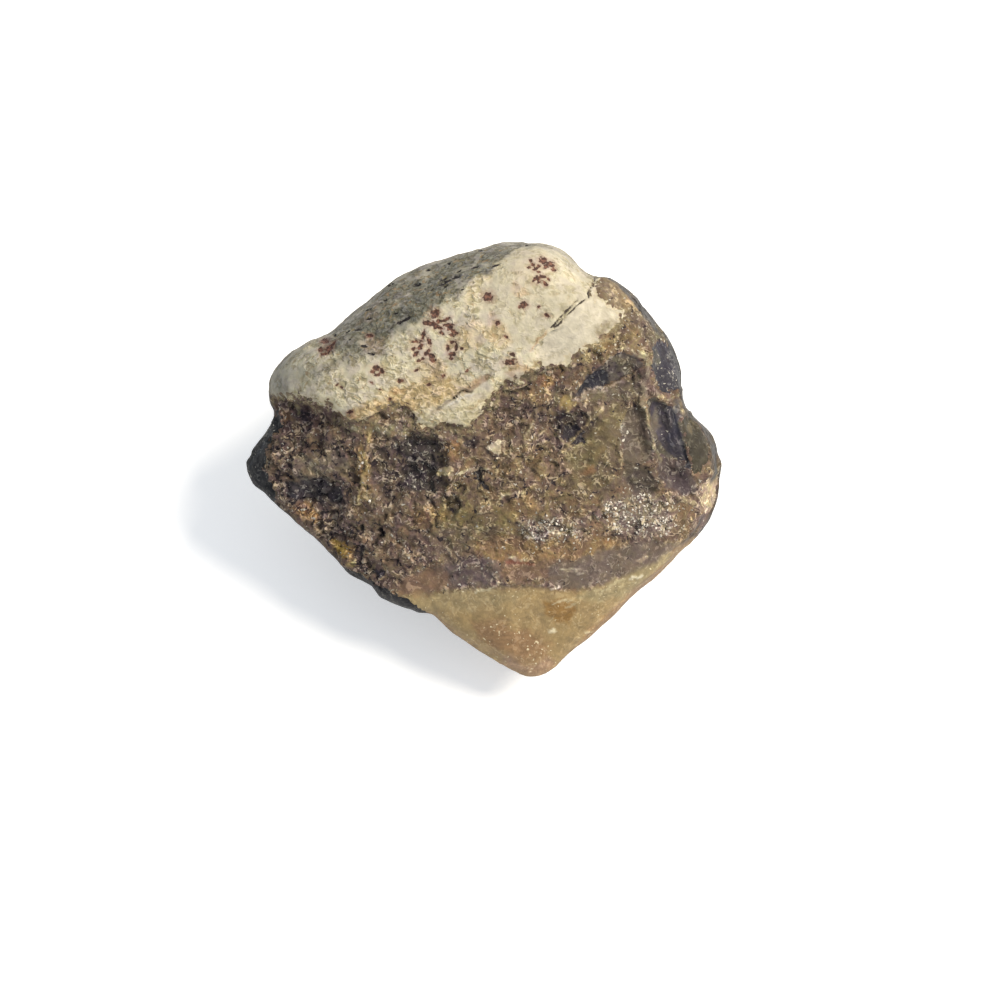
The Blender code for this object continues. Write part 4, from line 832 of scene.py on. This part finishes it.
def facets(node, vector, size):
    """Broken facets this many mm across, each leaning its own way: their height, and a random colour."""
    cell = node("ShaderNodeTexVoronoi", {"Vector": vector, "Scale": 1 / size}).node.outputs
    lean = node("vector minus", (cell["Color"], (0.5, 0.5, 0.5)))
    out = node("vector minus", (vector, cell["Position"]))
    return node("dot", (lean, out)), cell["Color"]


place = in_relief("scaled", (relief.nodes.new("GeometryNodeInputPosition").outputs[0], 1 / MM))
rind_share = in_relief("ramp", (on_skin["rind_in"], -0.5, 0.5))
wedge_share = in_relief("ramp", (on_skin["wedge_in"], -0.6, 0.6))
patch_share = in_relief("ramp", (on_skin["patch_in"], -0.2, 0.4))
finish_here = in_relief("blend vectors", (rind_share, on_skin["finish"], on_skin["rind_finish"]))
finish_parts = in_relief("ShaderNodeSeparateXYZ", (finish_here,)).node.outputs
rough = in_relief("times, plus", (finish_parts[0], -0.92, 1.0))
rough = in_relief("times", (rough, in_relief("times, plus", (patch_share, -0.75, 1.0))))
pitted = in_relief("times, plus", (finish_parts[2], 0.9, 0.55))
not_core = in_relief("larger", (rind_share, wedge_share))
core_share = in_relief("times", (in_relief("minus", (1.0, not_core)), rough))
core_share = in_relief("times", (core_share, pitted))
broad_facets, small_facets = (facets(in_relief, place, size)[0] for size in (BROAD_FACET, SMALL_FACET))
both_facets = in_relief("times, plus", (broad_facets, 0.8, small_facets))
swell = in_relief("noise", (place, 1 / SWELL, 3.0, 0.6))
crumb = in_relief("noise", (place, 1 / SMALL_CRUMB, 2.0, 0.55))
broad_crumb = in_relief("noise", (place, 1 / BROAD_CRUMB, 1.0))
crumb = in_relief("times", (in_relief("times, plus", (crumb, 0.6, broad_crumb)), rough))
ripple = in_relief("noise", (place, 1 / RIPPLE, 3.0))
marks = in_relief("times", (in_relief("ramp", (on_skin["slit"], 1.3, 0.4)), SLIT_DEPTH))
marks = in_relief("larger", (in_relief("ramp", (on_skin["stain"], 1.1, 0.5)), marks))
groove = in_relief("times", (in_relief("ramp", (on_skin["crack"], 0.3, 0.05)), CRACK_DEPTH))
marks = in_relief("larger", (marks, groove))
height = in_relief("times", (on_skin["cut"], -1.0))
for part, amount, share in (
    (both_facets, given["Core facets"], core_share),
    (swell, given["Core swell"], core_share),
    (crumb, given["Rind crumb"], rind_share),
    (ripple, given["Wedge ripple"], wedge_share),
    (marks, given["Mark depth"], -1.0),
):
    height = in_relief("times, plus", (in_relief("times", (part, amount)), share, height))
metres = in_relief("times", (height, MM))
push = in_relief("scaled", (relief.nodes.new("GeometryNodeInputNormal").outputs[0], metres))
weathered = in_relief(
    "GeometryNodeStoreNamedAttribute",
    {"Geometry": given["Geometry"], "Name": "relief", "Value": height},
    data_type="FLOAT",
    domain="POINT",
)
weathered = in_relief("GeometryNodeSetPosition", {"Geometry": weathered, "Offset": push})

# Silica rock and its weathered rind. The rind is matte and crumbly, like hard chalk. The core is a mass
# of grains a tenth of a millimetre to a millimetre across, dull, with waxy glints. The wedge is smooth
# and waxy. Heights are in millimetres here too.
WAXY = {"IOR": 1.54, "Specular IOR Level": 0.25}
rock, in_rock, surface = new_material("chalky rind and silica core", WAXY)


def colour_of(code):
    """A socket's colour from an sRGB hex value."""
    return (*linear(code), 1.0)


object_space = in_rock("ShaderNodeTexCoord", out="Object")
where = in_rock("ShaderNodeMapping", {"Vector": object_space, "Scale": (1 / MM, 1 / MM, 1 / MM)})
laid = {
    name: in_rock("ShaderNodeAttribute", out=output, attribute_name=name)
    for name, output in (
        ("rind_in", "Fac"), ("wedge_in", "Fac"), ("patch_in", "Fac"), ("relief", "Fac"), ("stain", "Fac"),
        ("slit", "Fac"), ("crack", "Fac"), ("local", "Color"), ("finish", "Vector"), ("patch", "Color"),
        ("patch_finish", "Vector"), ("rind_local", "Color"), ("rind_finish", "Vector"),
    )
}
CLOUDS = (  # the distance between the lumps in mm, then the octaves, how rough they are, and how twisted
    ("broad", 2.4, 2, 0.5, 0.0), ("middle", 1.1, 2, 0.55, 0.4), ("fine", 0.45, 1, 0.5, 0.0),
    ("curls", 1.2, 0, 0.5, 0.9), ("whorls", 0.85, 0, 0.5, 0.7), ("breaks", 1.25, 1, 0.5, 0.3),
    ("pits", 0.7, 0, 0.6, 0.8), ("hues", 1.9, 2, 0.6, 0.6), ("tints", 1.1, 2, 0.5, 0.3),
    ("grit", 2.6, 2, 0.5, 0.6), ("mottle", 0.8, 1, 0.5, 0.8), ("veils", 2.2, 4, 0.6, 0.8),
    ("flecks", 0.42, 0, 0.5, 0.6),
)
CLOUDS_ON_RIND = (("chalk lumps", 0.8, 1, 0.5, 0.7), ("chalk curls", 0.85, 0, 0.5, 0.7))
CHALK_LEAN = math.radians(-33)  # the chalk's lumps are drawn out along this line
CHALK_SCALE = (0.85 / MM, 1.15 / MM, 1 / MM)
drawn_out = in_rock(
    "ShaderNodeMapping",
    {"Vector": object_space, "Rotation": (0, 0, CHALK_LEAN), "Scale": CHALK_SCALE},
)
cloud = {
    name: in_rock("noise", (there, 1 / size, octaves, rough, twist))
    for there, clouds in ((where, CLOUDS), (drawn_out, CLOUDS_ON_RIND))
    for name, size, octaves, rough, twist in clouds
}
GRAIN = 0.55  # mm across, in the core
grain_height, grain_colour = facets(in_rock, where, GRAIN)
grain = in_rock("ShaderNodeSeparateColor", (grain_colour,)).node.outputs

# crisp patches lie over the local look, with borders that are ragged by a tenth of a millimetre or two
ragged = in_rock("times, plus", (cloud["middle"], 0.5, laid["patch_in"]))
ragged = in_rock("times, plus", (cloud["curls"], 0.3, ragged))
patch_here = in_rock("ramp", (ragged, -0.07, 0.07))
ragged = in_rock("times, plus", (cloud["broad"], 0.9, in_rock("times", (cloud["middle"], 1.3))))
ragged = in_rock("times, plus", (cloud["curls"], 0.7, ragged))
rind_smooth = in_rock("ShaderNodeSeparateXYZ", (laid["rind_finish"],))
rind_place = in_rock(
    "times, plus", (ragged, in_rock("times, plus", (rind_smooth, -0.4, 1.0)), laid["rind_in"])
)
rind_here = in_rock("ramp", (rind_place, -0.1, 0.1))
local = in_rock("blend", (rind_here, laid["local"], laid["rind_local"]))
finish = in_rock("blend vectors", (rind_here, laid["finish"], laid["rind_finish"]))
local = in_rock("blend", (patch_here, local, laid["patch"]))
finish = in_rock("blend vectors", (patch_here, finish, laid["patch_finish"]))
smoothness, specks, pits = in_rock("ShaderNodeSeparateXYZ", (finish,)).node.outputs
rough = in_rock("times, plus", (smoothness, -0.8, 1.0))
wedge_here = in_rock("ramp", (in_rock("times, plus", (ragged, 0.5, laid["wedge_in"])), -0.3, 0.3))

# painted highlights on the thin edges of grains, each with painted shade on one side, broken up into short
# strokes
off_crest = in_rock("unsigned", (cloud["curls"],))
strokes = in_rock("ramp", (off_crest, 0.21, 0.12))
whorls = in_rock("ramp", (in_rock("unsigned", (cloud["whorls"],)), 0.22, 0.13))
whorls = in_rock("times", (whorls, in_rock("ramp", (cloud["breaks"], -0.05, -0.25))))
broken_up = in_rock("ramp", (cloud["breaks"], -0.04, 0.2))
strokes = in_rock("times, plus", (strokes, broken_up, whorls))
painted_hollow_shade = in_rock(
    "times", (in_rock("ramp", (cloud["curls"], 0.18, 0.27)), in_rock("ramp", (cloud["curls"], 0.6, 0.42)))
)
painted_hollow_shade = in_rock("times", (painted_hollow_shade, broken_up))
in_clusters = in_rock(
    "ramp", (in_rock("times, plus", (cloud["middle"], 0.7, cloud["grit"])), -0.25, 0.3, 0.1, 1.0)
)
strokes = in_rock("times", (strokes, in_clusters))
painted_hollow_shade = in_rock("times", (painted_hollow_shade, in_clusters))
pits_here = in_rock("times, plus", (pits, 0.55, -0.72))
pits_here = in_rock("minus", (cloud["pits"], pits_here))
pits_here = in_rock("ramp", (pits_here, 0.05, -0.01))
flecks_here = in_rock("times, plus", (specks, 0.55, -0.74))
flecks_here = in_rock("plus", (cloud["flecks"], flecks_here))
flecks_here = in_rock("ramp", (flecks_here, -0.04, 0.06))

# the core's tone and hue, then what lies on it. The tone is darker in the low places of the relief and
# lighter on the high ones: painted shade.
core_tone = in_rock("times, plus", (cloud["broad"], 0.3, in_rock("times", (laid["relief"], 0.3))))
unevenness = in_rock("times, plus", (pits, 0.4, 0.18))
core_tone = in_rock("times, plus", (cloud["middle"], unevenness, core_tone))
fine_tone = in_rock("times, plus", (cloud["fine"], 0.22, in_rock("times, plus", (grain[0], 0.3, -0.15))))
core_tone = in_rock("times, plus", (fine_tone, rough, core_tone))
core_tone = in_rock("power", (2.72, core_tone))
hue_ramp = in_rock("ShaderNodeValToRGB", (in_rock("times, plus", (cloud["hues"], 0.75, 0.5)),)).node
stops = (
    (0.1, (0.74, 0.66, 0.8)),
    (0.35, (0.95, 0.9, 0.96)),
    (0.52, (1.0, 0.99, 0.92)),
    (0.7, (1.02, 1.02, 0.84)),
    (0.92, (1.11, 0.99, 0.83)),
)
while len(hue_ramp.color_ramp.elements) < len(stops):
    hue_ramp.color_ramp.elements.new(0.5)
for element, (at, stop) in zip(hue_ramp.color_ramp.elements, stops):
    element.position, element.color = at, (*stop, 1.0)
green_share = in_rock("ramp", (cloud["tints"], -0.3, 0.3))
tint = in_rock("blend", (green_share, (1.05, 0.96, 1.0, 1.0), (0.99, 1.01, 0.93, 1.0)))
tint = in_rock("vector times", (tint, hue_ramp.outputs[0]))
tint_share = in_rock("times, plus", (rough, 0.85, 0.1))
tint = in_rock("blend", (tint_share, (1.0, 1.0, 1.0, 1.0), tint))
core = in_rock("vector times", (local, tint))
core = in_rock("scaled", (core, core_tone))
# the painted highlight colour for the grain edges, and the painted shade colour beside them
painted_highlight_colour = in_rock("vector times, plus", (core, (2.2, 2.2, 2.2), (0.11, 0.106, 0.09)))
painted_shade_colour = in_rock("vector times, plus", (core, (0.22, 0.22, 0.22), (0.011, 0.007, 0.013)))
fleck_colour_core = in_rock("blend", (grain[1], colour_of("#8b867a"), colour_of("#c6c1b3")))
for share, most, paint in (
    (painted_hollow_shade, in_rock("times", (rough, in_rock("times, plus", (pits, 0.5, 0.7)))), painted_shade_colour),
    (strokes, in_rock("times", (rough, 0.95)), painted_highlight_colour),
    (pits_here, 0.9, colour_of("#221a20")),
    (flecks_here, 0.9, fleck_colour_core),
):
    share = in_rock("times", (share, most))
    core = in_rock("blend", (share, core, paint))

# the rind: smooth chalk, and between it crumbly grit, with olive and ochre flecks, painted highlights on
# its crumbs and small dark pits
off_crest = in_rock("unsigned", (cloud["chalk curls"],))
crumbs = in_rock("times", (in_rock("ramp", (off_crest, 0.2, 0.07)), broken_up))
creases = in_rock(
    "times",
    (
        in_rock("ramp", (cloud["chalk curls"], 0.16, 0.26)),
        in_rock("ramp", (cloud["chalk curls"], 0.6, 0.42)),
    ),
)
creases = in_rock("times", (creases, in_rock("ramp", (cloud["breaks"], -0.2, 0.1))))
grit = in_rock("times, plus", (specks, 1.1, cloud["grit"]))
grit = in_rock("times", (in_rock("ramp", (grit, -0.15, 0.4)), rough))
# the rind is darker in the low places of the relief and lighter on the high ones: painted shade
rind_tone = in_rock("times, plus", (laid["relief"], 0.5, 1.0))
rind_tone = in_rock("times, plus", (cloud["middle"], 0.16, rind_tone))
rind_tone = in_rock("times, plus", (in_rock("times", (cloud["fine"], 0.16)), grit, rind_tone))
chalk_share = in_rock("times", (in_rock("minus", (1.0, grit)), 0.3))
rind = in_rock("blend", (chalk_share, local, colour_of("#c3bda9")))
rind = in_rock("scaled", (rind, rind_tone))
rind = in_rock("vector times", (rind, (1.0, 1.01, 1.08)))
olive = in_rock("vector times", (rind, (0.62, 0.6, 0.47)))
pale = in_rock("vector times", (rind, (1.18, 1.2, 1.22)))
mottled = in_rock("blend", (in_rock("ramp", (cloud["chalk lumps"], -0.3, 0.35)), olive, pale))
rind = in_rock("blend", (in_rock("times, plus", (grit, 0.8, 0.06)), rind, mottled))
rind_tint = in_rock("blend", (in_rock("times", (rough, 0.45)), (1.0, 1.0, 1.0, 1.0), hue_ramp.outputs[0]))
rind = in_rock("vector times", (rind, rind_tint))
rind_hem = in_rock("times", (in_rock("ramp", (rind_place, 1.8, 0.0)), in_rock("times", (rough, 0.55))))
rind = in_rock("blend", (rind_hem, rind, in_rock("vector times", (rind, (0.74, 0.68, 0.54)))))
fleck_hue = in_rock("ramp", (cloud["hues"], -0.2, 0.3))
fleck_colour = in_rock("blend", (fleck_hue, colour_of("#7c7350"), colour_of("#8f7250")))
hem_colour = in_rock("blend", (fleck_hue, colour_of("#7b7254"), colour_of("#84775a")))
# painted highlights on the crumbs
painted_crumb_highlight = in_rock("vector times, plus", (rind, (1.1, 1.1, 1.08), (0.09, 0.09, 0.08)))
stain_edge = in_rock(
    "times, plus", (cloud["fine"], 0.5, in_rock("times, plus", (cloud["curls"], 0.35, laid["stain"])))
)
stain_colour = in_rock(
    "blend", (in_rock("ramp", (cloud["fine"], -0.3, 0.4)), colour_of("#38221f"), colour_of("#6f4a3c"))
)
halo_colour = in_rock("blend", (0.4, rind, colour_of("#8a6a5c")))
slit_edge = in_rock("times, plus", (cloud["fine"], 0.5, laid["slit"]))
crack_edge = in_rock(
    "times, plus", (cloud["curls"], 0.12, in_rock("times, plus", (cloud["breaks"], 0.12, laid["crack"])))
)
for share, most, paint in (
    (creases, in_rock("times", (grit, 0.6)), fleck_colour),
    (crumbs, in_rock("times", (grit, 0.6)), painted_crumb_highlight),
    (pits_here, in_rock("times, plus", (grit, 0.5, 0.1)), colour_of("#70664f")),
    (in_rock("ramp", (stain_edge, 2.3, 1.0)), 1.0, halo_colour),
    (in_rock("ramp", (stain_edge, 1.2, 0.85)), 0.92, stain_colour),
    (in_rock("ramp", (slit_edge, 1.2, 0.8)), 1.0, colour_of("#2c2929")),
    (in_rock("ramp", (crack_edge, 0.2, 0.07)), 1.0, colour_of("#3f3933")),
):
    share = in_rock("times", (share, most))
    rind = in_rock("blend", (share, rind, paint))

# the wedge: veils and small bright flaws in waxy stone
wedge_tone = in_rock("times, plus", (cloud["fine"], 0.12, 1.0))
wedge_tone = in_rock("times, plus", (cloud["veils"], 0.14, wedge_tone))
wedge_tone = in_rock("times, plus", (cloud["middle"], 0.13, wedge_tone))
wedge_tone = in_rock("times, plus", (cloud["mottle"], 0.14, wedge_tone))
wedge = in_rock("scaled", (local, wedge_tone))
wedge_tint = in_rock("blend", (0.12, (1.0, 1.0, 1.0, 1.0), hue_ramp.outputs[0]))
wedge = in_rock("vector times", (wedge, wedge_tint))
wedge_edge = in_rock("vector times, plus", (wedge, (1.3, 1.3, 1.3), (0.12, 0.11, 0.08)))
wedge = in_rock("blend", (in_rock("times", (strokes, 0.4)), wedge, wedge_edge))
wedge = in_rock("blend", (in_rock("times", (flecks_here, 0.8)), wedge, colour_of("#d6c9a6")))

hem = in_rock(
    "times", (in_rock("ramp", (rind_place, -2.2, -0.2)), in_rock("ramp", (cloud["mottle"], -0.3, 0.3)))
)
hem = in_rock("times", (hem, in_rock("times", (rough, 0.75))))
core = in_rock("blend", (hem, core, in_rock("scaled", (hem_colour, core_tone))))
colour = in_rock("blend", (wedge_here, core, wedge))
colour = in_rock("blend", (rind_here, colour, rind))
rock.node_tree.links.new(colour, surface["Base Color"])
dull = in_rock("times, plus", (smoothness, -0.25, in_rock("times, plus", (cloud["fine"], 0.1, 0.8))))
dull = in_rock("larger", (dull, in_rock("times", (rind_here, 0.92))))
rock.node_tree.links.new(dull, surface["Roughness"])

# the finest relief, which the mesh is too coarse for
core_bump = in_rock("times, plus", (strokes, 0.12, in_rock("times", (grain_height, 0.25))))
core_bump = in_rock("times, plus", (cloud["middle"], 0.1, core_bump))
core_bump = in_rock("times, plus", (cloud["fine"], 0.02, core_bump))
core_bump = in_rock("times", (core_bump, rough))
rind_bump = in_rock("times, plus", (crumbs, 0.06, in_rock("times", (cloud["chalk lumps"], 0.14))))
rind_bump = in_rock("times, plus", (cloud["middle"], 0.1, rind_bump))
rind_bump = in_rock("times", (rind_bump, in_rock("times, plus", (grit, 0.7, 0.3))))
wedge_bump = in_rock("times", (cloud["veils"], 0.05))
bump_height = in_rock("blend numbers", (wedge_here, core_bump, wedge_bump))
bump_height = in_rock("blend numbers", (rind_here, bump_height, rind_bump))
bump = in_rock("ShaderNodeBump", {"Height": bump_height, "Strength": 1.0, "Distance": MM})
rock.node_tree.links.new(bump, surface["Normal"])

skin = grown(stone, relief, weathered, RELIEF, rock)
points = read_points(skin)
points[:, 2] = np.maximum(points[:, 2], 0)  # the flat stays on the floor
skin.vertices.foreach_set("co", points.ravel())
skin.update()
skin.shade_smooth()
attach(stone, "root")
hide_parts("rough_stone")

# ---------------------------------------------------------------------------------------------------
# The grains
# Clear quartz grains a few tenths of a millimetre across, which crystallised in the pores of the core
# and stand half out of its broken face. They lie thickest in the pale belts above the wedge.
# ---------------------------------------------------------------------------------------------------

SCATTER = {"Grains per mm2": 3.6, "Smallest": 0.16, "Largest": 0.5}  # the sizes are in mm
FLATTEST, LONGEST = 0.6, 1.3  # how far a grain is squashed or drawn out each way
ANY_TURN = 6.28  # radians
PLACE_SEED, SIZE_SEED, SHAPE_SEED, TURN_SEED, TINT_SEED = 7, 3, 5, 9, 11
scatter, in_scatter, given = new_tree("scattered grains", SCATTER)
sparkle = in_scatter("GeometryNodeInputNamedAttribute", {"Name": "sparkle"}, data_type="FLOAT")
per_square_metre = in_scatter("times", (given["Grains per mm2"], 1 / MM**2))
density = in_scatter("times", (sparkle, per_square_metre))
spots = in_scatter(
    "GeometryNodeDistributePointsOnFaces",
    {"Mesh": given["Geometry"], "Density": density, "Seed": PLACE_SEED},
)
crystal = in_scatter("GeometryNodeMeshIcoSphere", {"Radius": 0.5, "Subdivisions": 1})
size = in_scatter("random number", (given["Smallest"], given["Largest"], SIZE_SEED))
size = in_scatter("times", (size, MM))
squash = in_scatter("random vector", ([FLATTEST] * 3, [LONGEST] * 3, SHAPE_SEED))
size = in_scatter("scaled", (squash, size))
turned = in_scatter("random vector", ([0.0] * 3, [ANY_TURN] * 3, TURN_SEED))
strewn = in_scatter(
    "GeometryNodeInstanceOnPoints",
    {"Points": spots, "Instance": crystal, "Rotation": turned, "Scale": size},
)
tint_of_grain = in_scatter("random number", (0.0, 1.0, TINT_SEED))
strewn = in_scatter(
    "GeometryNodeStoreNamedAttribute",
    {"Geometry": strewn, "Name": "tint", "Value": tint_of_grain},
    data_type="FLOAT",
    domain="INSTANCE",
)

# Quartz: glassy and greyish brown, and a few are milky.
quartz, in_quartz, glassy = new_material("clear and milky quartz", {"Roughness": 0.3, "IOR": 1.54})
tint_here = in_quartz("ShaderNodeAttribute", out="Fac", attribute_name="tint")
milky = in_quartz("ramp", (tint_here, 0.3, 0.8))
quartz_colour = in_quartz("blend", (milky, colour_of("#8a7f71"), colour_of("#ddd6c8")))
quartz.node_tree.links.new(quartz_colour, glassy["Base Color"])

grains = put("grains", skin.copy())
grown(grains, scatter, strewn, SCATTER, quartz)
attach(grains, "root")

# ---------------------------------------------------------------------------------------------------
# The studio
# A plain pale floor, one broad light high on the right, and a pale surround that fills the shadows.
# The camera looks square at the broken face, through a long lens.
# ---------------------------------------------------------------------------------------------------

FLOOR_SIZE = 4.0  # m
PALE = colour_of("#f6f6f5")
LIGHT_SIZE, LIGHT_DISTANCE, LIGHT_POWER = 0.6, 1.2, 22.0  # m, m and W
LIGHT_FROM = FACE_TO_WORLD.to_3x3() @ Vector((0.60, 0.42, 0.68)).normalized()
PICTURE_WIDTH = 150 * MM  # what the view takes in at the stone
CAMERA_DISTANCE = 550 * MM
AIM = Vector((2.52, -6.0, 0)) * MM  # the point of the face's frame in the middle of the view

floor_mesh = bpy.data.meshes.new("floor")
half = FLOOR_SIZE / 2
floor_corners = [(-half, -half, 0), (half, -half, 0), (half, half, 0), (-half, half, 0)]
floor_mesh.from_pydata(floor_corners, [], [(0, 1, 2, 3)])
floor = put("floor", floor_mesh)
# Matte white paper, lit from below a little so that the shadow on it stays soft
paper, _, _ = new_material(
    "white paper",
    {"Base Color": PALE, "Roughness": 0.9, "Emission Color": PALE, "Emission Strength": 0.42},
)
floor_mesh.materials.append(paper)

world = bpy.data.worlds.new("pale surround")
bpy.context.scene.world = world
world.use_nodes = True
surround = world.node_tree.nodes["Background"].inputs
surround["Color"].default_value = colour_of("#e6edf7")
surround["Strength"].default_value = 0.62

lamp = bpy.data.lights.new("key light", "AREA")
lamp.shape = "DISK"
lamp.size = LIGHT_SIZE
lamp.energy = LIGHT_POWER
lamp.color = linear("#fff5e6")
key = put("key light", lamp)
key.location = FACE_MIDDLE + LIGHT_FROM * LIGHT_DISTANCE
key.rotation_mode = "QUATERNION"
key.rotation_quaternion = LIGHT_FROM.to_track_quat("Z", "Y")

lens = bpy.data.cameras.new("camera")
lens.sensor_width = 36
lens.lens = lens.sensor_width * CAMERA_DISTANCE / PICTURE_WIDTH
lens.clip_start = 0.01
camera = put("camera", lens)
camera.matrix_world = FACE_TO_WORLD @ Matrix.Translation(AIM + Vector((0, 0, CAMERA_DISTANCE)))
bpy.context.scene.camera = camera
bpy.context.scene.view_settings.view_transform = "Standard"
